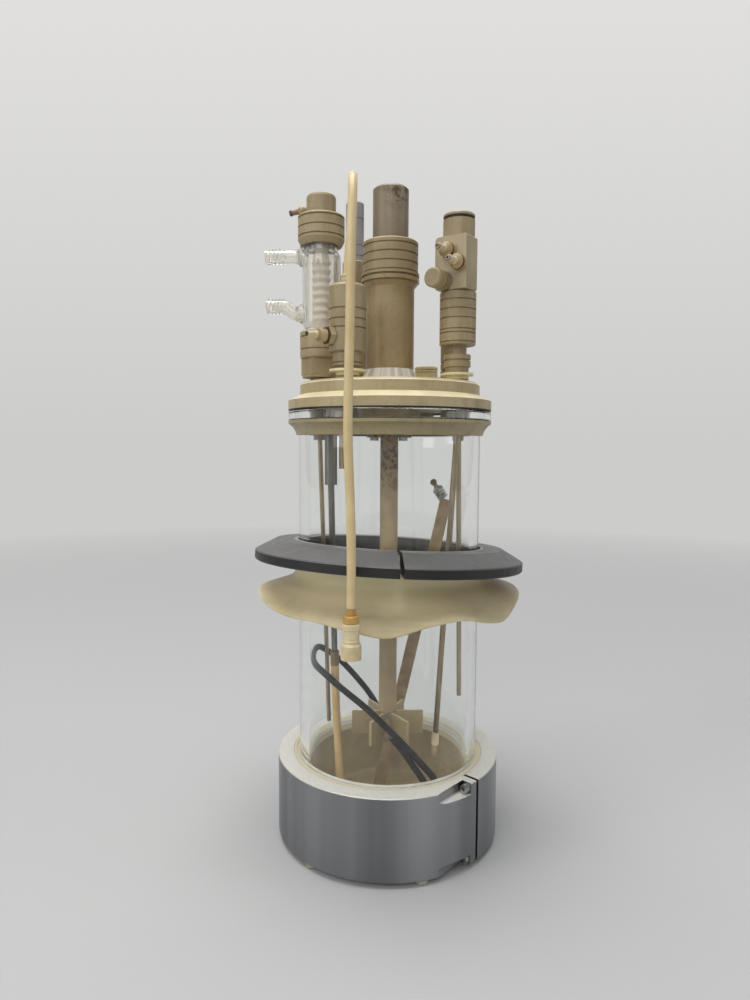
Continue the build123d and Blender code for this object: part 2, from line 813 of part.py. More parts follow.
# ================================================================ condenser
vapour_bore = 3.5
disc_bottom = plate_top + port_neck_height
hex_bottom = disc_bottom
hex_top = hex_bottom + adapter_hex_height


def port_stem(bore, disc_radius, disc_low, disc_high):
    """The turned outline that every port adapter shares, from its bore's lower end to its disc's top edge."""
    return [
        (bore, spigot_bottom),
        (spigot_radius, spigot_bottom),
        (spigot_radius, plate_top),
        (port_neck_radius, plate_top),
        (port_neck_radius, disc_low),
        (disc_radius, disc_low),
        (disc_radius, disc_high),
    ]


with BuildPart() as condenser_adapter:
    turned(
        port_stem(vapour_bore, adapter_disc_radius, disc_bottom - port_disc_thickness, disc_bottom)
        + [
            (adapter_spigot_radius, disc_bottom),
            (adapter_spigot_radius, hex_top + adapter_spigot_height),
            (vapour_bore, hex_top + adapter_spigot_height),
        ],
        condenser_at,
    )
    with BuildSketch(Plane.XY.offset(hex_bottom)):
        with Locations(condenser_at):
            RegularPolygon(adapter_hex_radius, 6, rotation=9)
            Circle(vapour_bore, mode=Mode.SUBTRACT)
    extrude(amount=adapter_hex_height)
finish(condenser_adapter.part, "condenser_adapter")

lower_nut_top = hex_top + lower_nut_height
spigot_top = hex_top + adapter_spigot_height
jacket_neck_bottom = spigot_top + rest_gap
lower_nut_grooves = [hex_top + lower_nut_height * fraction for fraction in (0.32, 0.78)]
with BuildPart() as condenser_lower_nut:
    turned(
        [(adapter_spigot_radius + seat_gap, hex_top), (lower_nut_radius - 0.6, hex_top)]
        + grooved(lower_nut_radius, hex_top + 0.6, lower_nut_top - 0.8, lower_nut_grooves)
        + [
            (lower_nut_radius - 0.8, lower_nut_top),
            (jacket_neck_radius + seat_gap, lower_nut_top),
            (jacket_neck_radius + seat_gap, spigot_top),
            (adapter_spigot_radius + seat_gap, spigot_top),
        ],
        condenser_at,
    )
finish(condenser_lower_nut.part, "condenser_lower_nut")

jacket_base = lower_nut_top + 1.4
jacket_body_bottom = jacket_base + jacket_shoulder
jacket_body_top = jacket_body_bottom + jacket_body_length
upper_hose_height = jacket_body_top + upper_hose_rise
lower_hose_height = jacket_body_bottom + lower_hose_rise
upper_nut_bottom = jacket_body_top + jacket_shoulder + upper_nut_gap
upper_nut_top = upper_nut_bottom + upper_nut_height
cap_top = upper_nut_top + cap_rise
cap_seat = upper_nut_top - cap_collar_height - 2.4
cap_collar_top = cap_seat + cap_collar_height
upper_nut_grooves = [upper_nut_bottom + upper_nut_height * fraction for fraction in (0.28, 0.58, 0.9)]
with BuildPart() as condenser_upper_nut:
    turned(
        [
            (jacket_neck_radius + seat_gap, upper_nut_bottom),
            (upper_nut_radius - upper_nut_chamfer, upper_nut_bottom),
        ]
        + grooved(
            upper_nut_radius, upper_nut_bottom + upper_nut_chamfer * 2, upper_nut_top - 0.6, upper_nut_grooves
        )
        + [
            (upper_nut_radius - 0.6, upper_nut_top),
            (cap_radius + seat_gap, upper_nut_top),
            (cap_radius + seat_gap, cap_collar_top + seat_gap),
            (cap_collar_radius + seat_gap, cap_collar_top + seat_gap),
            (cap_collar_radius + seat_gap, cap_seat - 0.1),
            (jacket_neck_radius + seat_gap, cap_seat - 0.1),
        ],
        condenser_at,
    )
finish(condenser_upper_nut.part, "condenser_upper_nut")

vent_radius = 2.4
vent_pitch = Vector(-cos(radians(12)), 0, -sin(radians(12)))
vent_root = (condenser_at[0] - cap_radius + 3.0, condenser_at[1], upper_nut_top + vent_rise)
with BuildPart() as condenser_cap:
    turned(
        [
            (0, cap_seat),
            (cap_collar_radius, cap_seat),
            (cap_collar_radius, cap_collar_top),
            (cap_radius, cap_collar_top),
            (cap_radius, cap_top - 1.5),
            (cap_radius - 0.5, cap_top - 0.5),
            (cap_radius - 1.5, cap_top),
            (0, cap_top),
        ],
        condenser_at,
    )
    with BuildSketch(Plane.XY.offset(cap_seat)):
        with Locations(condenser_at):
            Circle(vapour_bore)
    extrude(amount=cap_top - 4 - cap_seat, mode=Mode.SUBTRACT)
    turned_along([(0, 0), (0, 1.6), (-4, 1.6), (-4, 0)], vent_root, vent_pitch, Mode.SUBTRACT)
    turned_along([(0, 0), (0, 1.6), (9, 1.6), (9, 0)], vent_root, vent_pitch, Mode.SUBTRACT)
finish(condenser_cap.part, "condenser_cap")

with BuildPart() as vent_barb:
    turned_along(
        [
            (0, 0.6),
            (0, 1.45),
            (4.0, 1.45),
            (4.0, vent_radius - 0.5),
            (5.0, vent_radius),
            (6.2, vent_radius),
            (7.4, 1.5),
            (10.4, 1.3),
            (11.6, 1.7),
            (12.4, 1.2),
            (12.4, 0.6),
        ],
        vent_root,
        vent_pitch,
    )
finish(vent_barb.part, "vent_barb")

jacket_neck_top = cap_seat - 0.1
jacket_bore = jacket_radius - jacket_wall
neck_bore = jacket_neck_radius - jacket_wall
hose_tip = condenser_at[0] - hose_reach
body_side = condenser_at[0] - jacket_radius
with BuildPart() as condenser_jacket:
    turned(
        [
            (neck_bore, jacket_neck_bottom),
            (jacket_neck_radius, jacket_neck_bottom),
            (jacket_neck_radius, jacket_base),
            (jacket_radius - 0.4, jacket_base + jacket_shoulder * 0.6),
            (jacket_radius, jacket_body_bottom),
            (jacket_radius, jacket_body_top),
            (jacket_radius - 0.4, jacket_body_top + jacket_shoulder * 0.5),
            (jacket_neck_radius, jacket_body_top + jacket_shoulder),
            (jacket_neck_radius, jacket_neck_top),
            (neck_bore, jacket_neck_top),
            (neck_bore, jacket_body_top + jacket_shoulder),
            (jacket_bore, jacket_body_top),
            (jacket_bore, jacket_body_bottom),
            (neck_bore, jacket_base),
        ],
        condenser_at,
    )
    upper_axis = (body_side + jacket_wall, condenser_at[1], upper_hose_height)
    hose_length = body_side + jacket_wall - hose_tip
    ribs = []
    for n in range(hose_rib_count):
        rib = hose_length - 1.4 - n * hose_rib_pitch
        ribs = [
            (rib - hose_rib_foot, hose_radius),
            (rib - hose_rib_crest, hose_rib_radius),
            (rib + hose_rib_crest, hose_rib_radius),
            (rib + hose_rib_foot, hose_radius),
        ] + ribs
    turned_along(
        [(0, hose_bore), (0, hose_trumpet), (1.6, hose_trumpet), (2.6, hose_radius + 0.6), (4.2, hose_radius)]
        + ribs
        + [(hose_length, hose_radius), (hose_length, hose_bore)],
        upper_axis,
        (-1, 0, 0),
    )
    dip_end = hose_tip + hose_rib_count * hose_rib_pitch
    lower_route = [
        (hose_tip + 1.0, condenser_at[1], lower_hose_height),
        (dip_end, condenser_at[1], lower_hose_height),
        (dip_end + 5.5, condenser_at[1], lower_hose_height - lower_hose_dip),
        (body_side + jacket_wall, condenser_at[1], lower_hose_height - lower_hose_dip),
    ]
    swept_tube(lower_route, 5.0, hose_radius, hose_bore)
    turned_along(
        [(0, hose_bore)]
        + [(hose_length - along, out) for along, out in reversed(ribs)]
        + [(hose_length - ribs[0][0], hose_bore)],
        (hose_tip, condenser_at[1], lower_hose_height),
        (1, 0, 0),
    )
    lower_root = lower_hose_height - lower_hose_dip
    with BuildSketch(Plane(origin=(body_side - 1.2, condenser_at[1], lower_root), z_dir=(1, 0, 0))):
        Circle(hose_trumpet)
    with BuildSketch(Plane(origin=(body_side - 3.6, condenser_at[1], lower_root), z_dir=(1, 0, 0))):
        Circle(hose_radius)
    loft()
    with BuildSketch(Plane(origin=(body_side - 1.2, condenser_at[1], lower_root), z_dir=(1, 0, 0))):
        Circle(hose_trumpet)
    extrude(amount=2.0)
    for height in (upper_hose_height, lower_hose_height - lower_hose_dip):
        with BuildSketch(Plane(origin=(body_side - 4, condenser_at[1], height), z_dir=(1, 0, 0))):
            Circle(hose_bore)
        extrude(amount=7, mode=Mode.SUBTRACT)
    turned(
        [
            (0, jacket_body_bottom),
            (jacket_bore, jacket_body_bottom),
            (jacket_bore, jacket_body_top),
            (0, jacket_body_top),
        ],
        condenser_at,
        Mode.SUBTRACT,
    )
finish(condenser_jacket.part, "condenser_jacket")

coil_start = jacket_body_bottom
coil_turns = int((jacket_body_top - coil_start) / coil_pitch)


def coil_side(offset):
    """One wavy side of the coil tube, as (radius, height) points from bottom to top."""
    points = []
    for n in range(coil_turns * coil_facets + 1):
        swell = (1 - cos(radians(360 * n / coil_facets))) / 2
        out = coil_waist + (coil_radius - coil_waist) * swell + offset
        points.append((out, coil_start + n * coil_pitch / coil_facets))
    return points


with BuildPart() as condenser_coil:
    coil_bottom = jacket_neck_bottom
    coil_top = jacket_neck_top
    turned(
        [(coil_waist - coil_wall, coil_bottom), (coil_waist, coil_bottom)]
        + coil_side(0)
        + [(coil_waist, coil_top), (coil_waist - coil_wall, coil_top)]
        + coil_side(-coil_wall)[::-1],
        condenser_at,
    )
finish(condenser_coil.part, "condenser_coil")

# ================================================================ sample port
sample_body_bottom = port_disc_top + sample_neck_height
sample_body_top = sample_body_bottom + sample_body_height
pipe_bore = 1.8
with BuildPart() as sample_port_adapter:
    turned(
        port_stem(pipe_bore, 9.2, disc_bottom, port_disc_top)
        + [(sample_neck_radius - 1.5, port_disc_top), (sample_neck_radius - 1.5, port_disc_top + 1.6)]
        + grooved(sample_neck_radius, port_disc_top + 1.6, sample_body_bottom, [port_disc_top + 3.2])
        + [
            (pipe_bore + 2.6, sample_body_bottom),
            (pipe_bore + 2.6, sample_body_bottom + 6),
            (pipe_bore, sample_body_bottom + 6),
        ],
        sample_at,
    )
finish(sample_port_adapter.part, "sample_port_adapter")

side_way = Vector(cos(radians(sample_side_bearing)), sin(radians(sample_side_bearing)), 0)
side_height = sample_body_bottom + sample_side_height
side_face = Vector(*sample_at, side_height) + side_way * sample_body_radius
top_stud_depth = 5.0
with BuildPart() as sample_port_body:
    body_grooves = [sample_body_bottom + sample_body_height * fraction for fraction in (0.35, 0.48, 0.63)]
    turned(
        [(pipe_bore, sample_body_bottom), (sample_body_radius - 0.5, sample_body_bottom)]
        + grooved(sample_body_radius, sample_body_bottom + 0.5, sample_body_top - 1.2, body_grooves)
        + [(sample_body_radius - 1.2, sample_body_top), (pipe_bore, sample_body_top)],
        sample_at,
    )
    with BuildSketch(Plane.XY.offset(sample_body_bottom)):
        with Locations(sample_at):
            Circle(pipe_bore + 2.6 + seat_gap)
    extrude(amount=6 + rest_gap, mode=Mode.SUBTRACT)
    with BuildSketch(Plane.XY.offset(sample_body_top - top_stud_depth - rest_gap)):
        with Locations(sample_at):
            Circle(2.5 + seat_gap)
    extrude(amount=top_stud_depth + 1, mode=Mode.SUBTRACT)
    turned_along([(0, 0), (0, 1.6), (-6, 1.6), (-6, 0)], side_face, side_way, Mode.SUBTRACT)
    turned_along([(0, 0), (0, 5.0), (4, 5.0), (4, 0)], side_face - side_way * 0.4, side_way, Mode.SUBTRACT)
finish(sample_port_body.part, "sample_port_body")

side_barb_start = side_face - side_way * 0.4
with BuildPart() as sample_side_barb:
    turned_along(
        [
            (-4.0, 0.7),
            (-4.0, 1.45),
            (0, 1.45),
            (0, 4.2),
            (3.2, 4.2),
            (3.2, 2.3),
            (3.8, 2.3),
            (3.8, 3.1),
            (8.0, 3.1),
            (8.6, 2.0),
            (14.4, 1.1),
            (14.4, 0.7),
        ],
        side_barb_start,
        side_way,
    )
    with BuildSketch(Plane(origin=side_barb_start, z_dir=side_way)):
        RegularPolygon(4.8, 6)
        Circle(3, mode=Mode.SUBTRACT)
    extrude(amount=3.2)
finish(sample_side_barb.part, "sample_side_barb")

air_tube_radius = 2.15
air_tube_bore = 1.4
top_barb_height = 5.2
with BuildPart() as sample_top_barb:
    turned(
        [
            (0.8, sample_body_top - top_stud_depth),
            (2.5, sample_body_top - top_stud_depth),
            (2.5, sample_body_top),
            (4.3, sample_body_top),
            (4.3, sample_body_top + 2.4),
            (3.5, sample_body_top + 2.9),
            (3.5, sample_body_top + top_barb_height - 0.5),
            (3.0, sample_body_top + top_barb_height),
            (0.8, sample_body_top + top_barb_height),
        ],
        sample_at,
    )
finish(sample_top_barb.part, "sample_top_barb")

# ================================================================ probe and its adapter
probe_stem_radius = 3.0
probe_shoulder = port_disc_top + 8
probe_adapter_top = port_disc_top + probe_adapter_height
probe_top = probe_adapter_top + probe_rise
with BuildPart() as probe_adapter:
    turned(
        port_stem(probe_stem_radius + seat_gap, port_disc_radius, disc_bottom, port_disc_top)
        + [(probe_adapter_radius, port_disc_top), (probe_adapter_radius, probe_adapter_top - 0.8)]
        + [
            (probe_adapter_radius - 0.8, probe_adapter_top),
            (probe_radius + seat_gap, probe_adapter_top),
            (probe_radius + seat_gap, probe_shoulder - rest_gap),
            (probe_stem_radius + seat_gap, probe_shoulder - rest_gap),
        ],
        probe_at,
    )
finish(probe_adapter.part, "probe_adapter")

with BuildPart() as probe:
    turned(
        [
            (0, spigot_bottom + 1.5),
            (probe_stem_radius, spigot_bottom + 1.5),
            (probe_stem_radius, probe_shoulder),
        ]
        + grooved(
            probe_radius,
            probe_shoulder,
            probe_top - 1.0,
            [probe_top - drop for drop in probe_groove_drops],
            0.6,
            0.4,
        )
        + [(probe_radius - 1.0, probe_top), (0, probe_top)],
        probe_at,
    )
finish(probe.part, "probe")

# ================================================================ feed port
feed_neck_top = port_disc_top + feed_neck_height
column_bottom = feed_neck_top + feed_waist_height
column_top = column_bottom + feed_column_height
waist_spigot = 8.0
with BuildPart() as feed_adapter:
    neck_step = port_disc_top + feed_neck_height * 0.3
    turned(
        port_stem(pipe_bore, port_disc_radius, disc_bottom, port_disc_top)
        + [(feed_neck_foot_radius, port_disc_top), (feed_neck_foot_radius, neck_step)]
        + grooved(feed_neck_radius, neck_step + 0.4, feed_neck_top, [neck_step + feed_neck_height * 0.4])
        + [
            (feed_waist_radius, feed_neck_top),
            (feed_waist_radius, column_bottom + waist_spigot),
            (pipe_bore, column_bottom + waist_spigot),
        ],
        feed_at,
    )
finish(feed_adapter.part, "feed_adapter")

with BuildPart() as feed_column:
    column_grooves = [column_bottom + feed_column_height * share for share in feed_groove_shares]
    turned(
        [(feed_waist_radius + seat_gap, column_bottom), (feed_column_radius - 0.5, column_bottom)]
        + grooved(feed_column_radius, column_bottom + 0.5, column_top - 0.8, column_grooves, 0.7, 0.6)
        + [
            (feed_column_radius - 1.4, column_top - 0.8),
            (feed_column_radius - 1.4, column_top),
            (feed_stud_radius, column_top),
            (feed_stud_radius, column_top + feed_stud_height),
            (pipe_bore, column_top + feed_stud_height),
            (pipe_bore, column_bottom + waist_spigot + rest_gap),
            (feed_waist_radius + seat_gap, column_bottom + waist_spigot + rest_gap),
        ],
        feed_at,
    )
finish(feed_column.part, "feed_column")

block_out = Vector(cos(radians(block_bearing)), sin(radians(block_bearing)), 0)
block_across = Vector(-sin(radians(block_bearing)), cos(radians(block_bearing)), 0)
block_bottom = column_top
block_top = block_bottom + block_height
feed_middle = Vector(*feed_at, 0)
feed_barb_radius = 1.5
barb_hole_depth = 4.0


def block_spot(across, up):
    """A point of the block's flat face, from its distance across it and its height above the block's foot."""
    return feed_middle + block_out * block_face + block_across * across + Vector(0, 0, block_bottom + up)


with BuildPart() as feed_block:
    block_plane = Plane(origin=(*feed_at, block_bottom), x_dir=block_across)
    with BuildSketch(block_plane):
        with Locations((0, (block_back - block_face) / 2)):
            Rectangle(2 * block_half_width, block_face + block_back)
    extrude(amount=block_height)
    left_end = feed_block.faces().sort_by(Axis(feed_middle, block_across))[0]
    fillet(left_end.edges().filter_by(Axis((0, 0, 0), block_out)), block_end_rounding)
    right_end = feed_block.faces().sort_by(Axis(feed_middle, block_across))[-1]
    chamfer(right_end.edges().filter_by(Axis((0, 0, 0), block_out)), block_edge)
    with BuildSketch(block_plane):
        Circle(block_half_width - block_edge)
        with Locations((0, -block_half_width)):
            Rectangle(2 * block_half_width, 2 * block_half_width, mode=Mode.SUBTRACT)
    extrude(amount=block_height)
    with BuildSketch(Plane.XY.offset(block_bottom)):
        with Locations(feed_at):
            Circle(feed_stud_radius + seat_gap)
    extrude(amount=feed_stud_height + rest_gap, mode=Mode.SUBTRACT)
    with BuildSketch(Plane.XY.offset(block_top - feed_stud_height - rest_gap)):
        with Locations(feed_at):
            Circle(feed_stud_radius + seat_gap)
    extrude(amount=feed_stud_height + 1, mode=Mode.SUBTRACT)
    for across, up in (*feed_barb_spots, feed_plug_spot):
        with BuildSketch(Plane(origin=block_spot(across, up), z_dir=block_out)):
            Circle(feed_barb_radius + seat_gap)
        extrude(amount=-barb_hole_depth - rest_gap, mode=Mode.SUBTRACT)
finish(feed_block.part, "feed_block")

with BuildPart() as feed_barbs:
    for across, up in feed_barb_spots:
        turned_along(
            [
                (-barb_hole_depth, 0.6),
                (-barb_hole_depth, feed_barb_radius),
                (0, feed_barb_radius),
                (0, 4.1),
                (2.2, 4.1),
                (2.4, 3.0),
                (3.3, 3.0),
                (3.5, 3.7),
                (5.0, 3.7),
                (5.6, 3.1),
                (6.2, 2.2),
                (7.2, 1.7),
                (feed_barb_length - 1.8, 1.6),
                (feed_barb_length - 1.4, 1.9),
                (feed_barb_length, 1.2),
                (feed_barb_length, 0.6),
            ],
            block_spot(across, up),
            block_out,
        )
finish(feed_barbs.part, "feed_barbs")

with BuildPart() as blank_plug:
    plug_foot = block_spot(*feed_plug_spot)
    turned_along(
        [
            (-barb_hole_depth, 0),
            (-barb_hole_depth, feed_barb_radius),
            (0, feed_barb_radius),
            (0, feed_plug_radius),
            (feed_plug_length * 0.35, feed_plug_radius),
            (feed_plug_length * 0.35, feed_plug_radius - 0.6),
            (feed_plug_length * 0.42, feed_plug_radius - 0.6),
            (feed_plug_length * 0.42, feed_plug_radius),
            (feed_plug_length - 0.8, feed_plug_radius),
            (feed_plug_length, feed_plug_radius - 0.8),
            (feed_plug_length, 0),
        ],
        plug_foot,
        block_out,
    )
finish(blank_plug.part, "blank_plug")

cap_bottom = block_top
cap_top_z = cap_bottom + feed_cap_height
cap_groove_top = cap_top_z - feed_cap_disc
cap_groove_bottom = cap_groove_top - feed_seal_height
with BuildPart() as feed_cap:
    turned(
        [
            (0, cap_bottom - feed_stud_height),
            (feed_stud_radius, cap_bottom - feed_stud_height),
            (feed_stud_radius, cap_bottom),
            (feed_cap_radius, cap_bottom),
            (feed_cap_radius, cap_groove_bottom),
            (feed_cap_radius - feed_seal_depth, cap_groove_bottom),
            (feed_cap_radius - feed_seal_depth, cap_groove_top),
            (feed_cap_radius, cap_groove_top),
            (feed_cap_radius, cap_top_z - 0.6),
            (feed_cap_radius - 0.6, cap_top_z),
            (0, cap_top_z),
        ],
        feed_at,
    )
finish(feed_cap.part, "feed_cap")

with BuildPart() as feed_cap_seal:
    turned(
        [
            (feed_cap_radius - feed_seal_depth + 0.05, cap_groove_bottom + 0.05),
            (feed_cap_radius - 0.35, cap_groove_bottom + 0.05),
            (feed_cap_radius - 0.35, cap_groove_top - 0.05),
            (feed_cap_radius - feed_seal_depth + 0.05, cap_groove_top - 0.05),
        ],
        feed_at,
    )
finish(feed_cap_seal.part, "feed_cap_seal")

# ================================================================ rear adapter and port plug
rear_adapter_top = port_disc_top + rear_adapter_height
with BuildPart() as rear_port_adapter:
    rear_grooves = [port_disc_top + rear_adapter_height * fraction for fraction in (0.1, 0.2, 0.5, 0.86)]
    turned(
        port_stem(pipe_bore, port_disc_radius, disc_bottom, port_disc_top)
        + grooved(rear_adapter_radius, port_disc_top, rear_adapter_top - 0.8, rear_grooves)
        + [
            (rear_adapter_radius - 0.8, rear_adapter_top),
            (0, rear_adapter_top),
            (0, rear_adapter_top - 3),
            (pipe_bore, rear_adapter_top - 3),
        ],
        rear_at,
    )
finish(rear_port_adapter.part, "rear_port_adapter")

with BuildPart() as port_plug:
    plug_top = plate_top + port_plug_height
    turned(
        [
            (0, spigot_bottom),
            (spigot_radius, spigot_bottom),
            (spigot_radius, plate_top),
        ]
        + grooved(port_plug_radius, plate_top, plug_top - 0.6, [plug_top - 3.6, plug_top - 2.2], 0.6, 0.5)
        + [(port_plug_radius - 0.6, plug_top), (0, plug_top)],
        plug_at,
    )
finish(port_plug.part, "port_plug")

# ================================================================ pipes hanging from the head plate
left_rod_radius = 1.25
right_rod_radius = 1.5
gland_drop = 8.5  # below the spigots
gland_bottom = spigot_bottom - gland_drop
left_gland = (condenser_at[0] - 0.8, condenser_at[1] + 0.2)
left_rod_route = [(*left_gland, spigot_bottom - 1), (-34.3, 3.5, 60)]
right_rod_route = [(*right_rod_at, plate_bottom + blind_depth / 2), (right_rod_at[0] + 3.2, 0, 77)]


def straight_rod(route, radius):
    """A plain round rod between two points."""
    way = Vector(*route[1]) - Vector(*route[0])
    with BuildSketch(Plane(origin=route[0], z_dir=way)) as section:
        Circle(radius)
    extrude(section.sketch, amount=way.length)


with BuildPart() as left_dip_rod:
    straight_rod(left_rod_route, left_rod_radius)
finish(left_dip_rod.part, "left_dip_rod")

with BuildPart() as right_dip_rod:
    straight_rod(right_rod_route, right_rod_radius)
finish(right_dip_rod.part, "right_dip_rod")

gland_play = 0.8  # room for the slanting rods
with BuildPart() as dip_rod_glands:
    turned(
        [
            (left_rod_radius + gland_play, gland_bottom),
            (gland_radius, gland_bottom),
            (gland_radius, spigot_bottom),
            (left_rod_radius + gland_play, spigot_bottom),
        ],
        left_gland,
    )
    turned(
        [
            (right_rod_radius + gland_play, gland_bottom),
            (gland_radius, gland_bottom),
            (gland_radius, plate_bottom + blind_depth),
            (right_rod_radius + gland_play, plate_bottom + blind_depth),
        ],
        right_rod_at,
    )
finish(dip_rod_glands.part, "dip_rod_glands")

pipe_radius = 1.6
harvest_sleeve_drop = 32.0  # below the spigots
harvest_sleeve_bottom = spigot_bottom - harvest_sleeve_drop
ferrule_radius = 2.4
ferrule_length = 8.0
harvest_foot = Vector(-29.3, -9.0, 97.0)
harvest_top = Vector(*harvest_at, harvest_sleeve_bottom + 3)
harvest_way = (harvest_foot - harvest_top).normalized()
with BuildPart() as harvest_pipe:
    turned(
        [
            (0, harvest_sleeve_bottom),
            (harvest_sleeve_radius, harvest_sleeve_bottom),
            (harvest_sleeve_radius, plate_bottom + blind_depth),
            (0, plate_bottom + blind_depth),
        ],
        harvest_at,
    )
    straight_rod([harvest_top, harvest_foot], pipe_radius)
finish(harvest_pipe.part, "harvest_pipe")

with BuildPart() as harvest_ferrule:
    with BuildSketch(Plane(origin=harvest_foot - harvest_way * ferrule_length, z_dir=harvest_way)):
        Circle(ferrule_radius)
        Circle(pipe_radius + seat_gap, mode=Mode.SUBTRACT)
    extrude(amount=ferrule_length)
finish(harvest_ferrule.part, "harvest_ferrule")

harvest_hose_radius = 2.25
hose_start = harvest_foot + harvest_way * seat_gap
harvest_route = [
    hose_start,
    hose_start + harvest_way * 24,
    Vector(-26.8, -10.5, 46),
    Vector(-25.6, -13.5, 24),
    Vector(-24.2, -18.5, 14.8),
]
with BuildPart() as harvest_hose:
    swept_tube(harvest_route, corner_radii(harvest_route), harvest_hose_radius)
finish(harvest_hose.part, "harvest_hose")

short_pipe_bottom = spigot_bottom - short_pipe_drop
with BuildPart() as short_pipe:
    with BuildSketch(Plane.XY.offset(short_pipe_bottom)):
        with Locations(short_pipe_at):
            Circle(short_pipe_radius)
    extrude(amount=plate_bottom + blind_depth - short_pipe_bottom)
finish(short_pipe.part, "short_pipe")

sparger_route = [
    Vector(*feed_at, spigot_bottom + 12),
    Vector(*feed_at, spigot_bottom - 3),
    Vector(27.6, 2, 47.5),
]
sparger_way = (sparger_route[2] - sparger_route[1]).normalized()
sparger_sleeve_radius = 2.2
sparger_sleeve_length = 7.4
sparger_tip_radius = 1.7
sparger_tip_length = 7.0
with BuildPart() as sparger_pipe:
    swept_tube(sparger_route, 12.0, pipe_radius)
finish(sparger_pipe.part, "sparger_pipe")

with BuildPart() as sparger_sleeve:
    with BuildSketch(Plane(origin=sparger_route[2] - sparger_way * sparger_sleeve_length, z_dir=sparger_way)):
        Circle(sparger_sleeve_radius)
        Circle(pipe_radius + seat_gap, mode=Mode.SUBTRACT)
    extrude(amount=sparger_sleeve_length)
finish(sparger_sleeve.part, "sparger_sleeve")

with BuildPart() as sparger_tip:
    with BuildSketch(Plane(origin=sparger_route[2] + sparger_way * rest_gap, z_dir=sparger_way)):
        Circle(sparger_tip_radius)
    extrude(amount=sparger_tip_length)
    fillet(sparger_tip.edges().group_by(Axis.Z)[0], 1.0)
finish(sparger_tip.part, "sparger_tip")

# ================================================================ loose pieces in the vessel
bar_foot = Vector(-5, 27, cup_floor + 1.2)
bar_head_inset = 4.6  # of the bar's upper end from the glass's inner wall
bar_head_bearing = radians(31.0)
bar_head_radius = glass_inner_radius - bar_head_inset
bar_head = Vector(bar_head_radius * cos(bar_head_bearing), bar_head_radius * sin(bar_head_bearing), 187)
bar_width = 7.0
bar_thickness = 3.0
bar_way = (bar_head - bar_foot).normalized()
bar_side = bar_way.cross(Vector(0, 1, 0)).normalized()
with BuildPart() as loose_bar:
    with BuildSketch(Plane(origin=bar_foot, x_dir=bar_side, z_dir=bar_way)):
        Rectangle(bar_width, bar_thickness)
    extrude(amount=(bar_head - bar_foot).length)
finish(loose_bar.part, "loose_bar")

fitting_radius = 3.5
fitting_foot = bar_head + Vector(-1.2, -1.4, 3.6)
fitting_way = Vector(-7.4, -2.0, 10.0).normalized()
thread_start = 2.0
thread_pitch = 1.2
thread_depth = 0.45
thread_turn = ((0, fitting_radius), (thread_pitch / 2, fitting_radius - thread_depth))
thread = [(thread_start + thread_pitch * n + step, out) for n in range(5) for step, out in thread_turn]
with BuildPart() as loose_fitting:
    turned_along(
        [(0, 0), (0, fitting_radius - 0.4), (1.4, fitting_radius)]
        + thread
        + [(8.2, fitting_radius - 0.4), (8.2, fitting_radius - 0.9), (10.6, fitting_radius - 0.9)]
        + [(12.2, 1.8), (12.8, 0)],
        fitting_foot,
        fitting_way,
    )
finish(loose_fitting.part, "loose_fitting")

o_ring_radius = 1.6
o_ring_seam = Vector(-33.0, -12.3, 91.6)
o_ring_route = [
    o_ring_seam,
    Vector(-25.7, -15.0, 86.0),
    Vector(-9, -21.5, 75.2),
    Vector(7.3, -26.5, 60.4),
    Vector(16.4, -30.0, 51.7),
    Vector(25.1, -32.5, 42.8),
    Vector(31.0, -29.5, 24.0),
    Vector(27.0, -26.0, 13.0),
    Vector(22.0, -24.0, 34.0),
    Vector(14.5, -15.5, 42.0),
    Vector(7.3, 0, 46.0),
    Vector(-1.5, 21.0, 46.5),
    Vector(-6.5, 25.5, 63.3),
    Vector(-26, 17, 89.3),
    Vector(-34.5, 11, 98.3),
    Vector(-40.4, 4, 104.0),
    Vector(-41.2, -9.0, 98.2),
    o_ring_seam + Vector(-0.06, 0.02, 0.05),
]
with BuildPart() as loose_o_ring:
    swept_tube(o_ring_route, corner_radii(o_ring_route), o_ring_radius)
finish(loose_o_ring.part, "loose_o_ring")

# ================================================================ air tube and the connector it carries
tube_start = sample_body_top + top_barb_height + 0.1
air_route = [
    (*sample_at, tube_start),
    (sample_at[0] + 0.3, sample_at[1] + 0.2, 314.0),
    (-19.9, -31.6, 325.0),
    (-19.0, -35.6, 334.8),
    (-18.1, -45.6, 341.5),
    (-17.5, -57.6, 343.0),
    (-17.0, -68.6, 337.4),
    (-16.8, -75.0, 327.0),
    (-17.3, -77.0, 308.5),
    (-17.5, -76.6, 282.0),
    (-18.2, -76.9, 248.0),
    (-18.7, -76.8, 222.0),
    (-17.5, -76.3, 196.0),
    (-16.7, -76.9, 168.0),
    (-16.9, -76.5, 144.4),
]
air_radii = corner_radii(air_route)
print("air tube corner radii:", [round(r, 1) for r in air_radii])
with BuildPart() as air_tube:
    swept_tube(air_route, air_radii, air_tube_radius, air_tube_bore)
finish(air_tube.part, "air_tube")
tube_area = pi * (air_tube_radius**2 - air_tube_bore**2)
print("air tube length:", round(air_tube.part.volume / tube_area, 1))

tube_end = (air_route[-1][0], air_route[-1][1])
barb_top = air_route[-1][2] - 0.1
barb_nut_bottom = 137.3
with BuildPart() as tube_barb:
    turned(
        [
            (0.9, barb_nut_bottom - 3),
            (1.7, barb_nut_bottom - 3),
            (1.7, barb_nut_bottom),
            (3.3, barb_nut_bottom),
            (3.65, barb_nut_bottom + 0.4),
            (3.65, barb_nut_bottom + 3.2),
            (3.2, barb_nut_bottom + 3.7),
            (2.0, barb_nut_bottom + 3.7),
            (2.0, barb_top),
            (0.9, barb_top),
        ],
        tube_end,
    )
finish(tube_barb.part, "tube_barb")

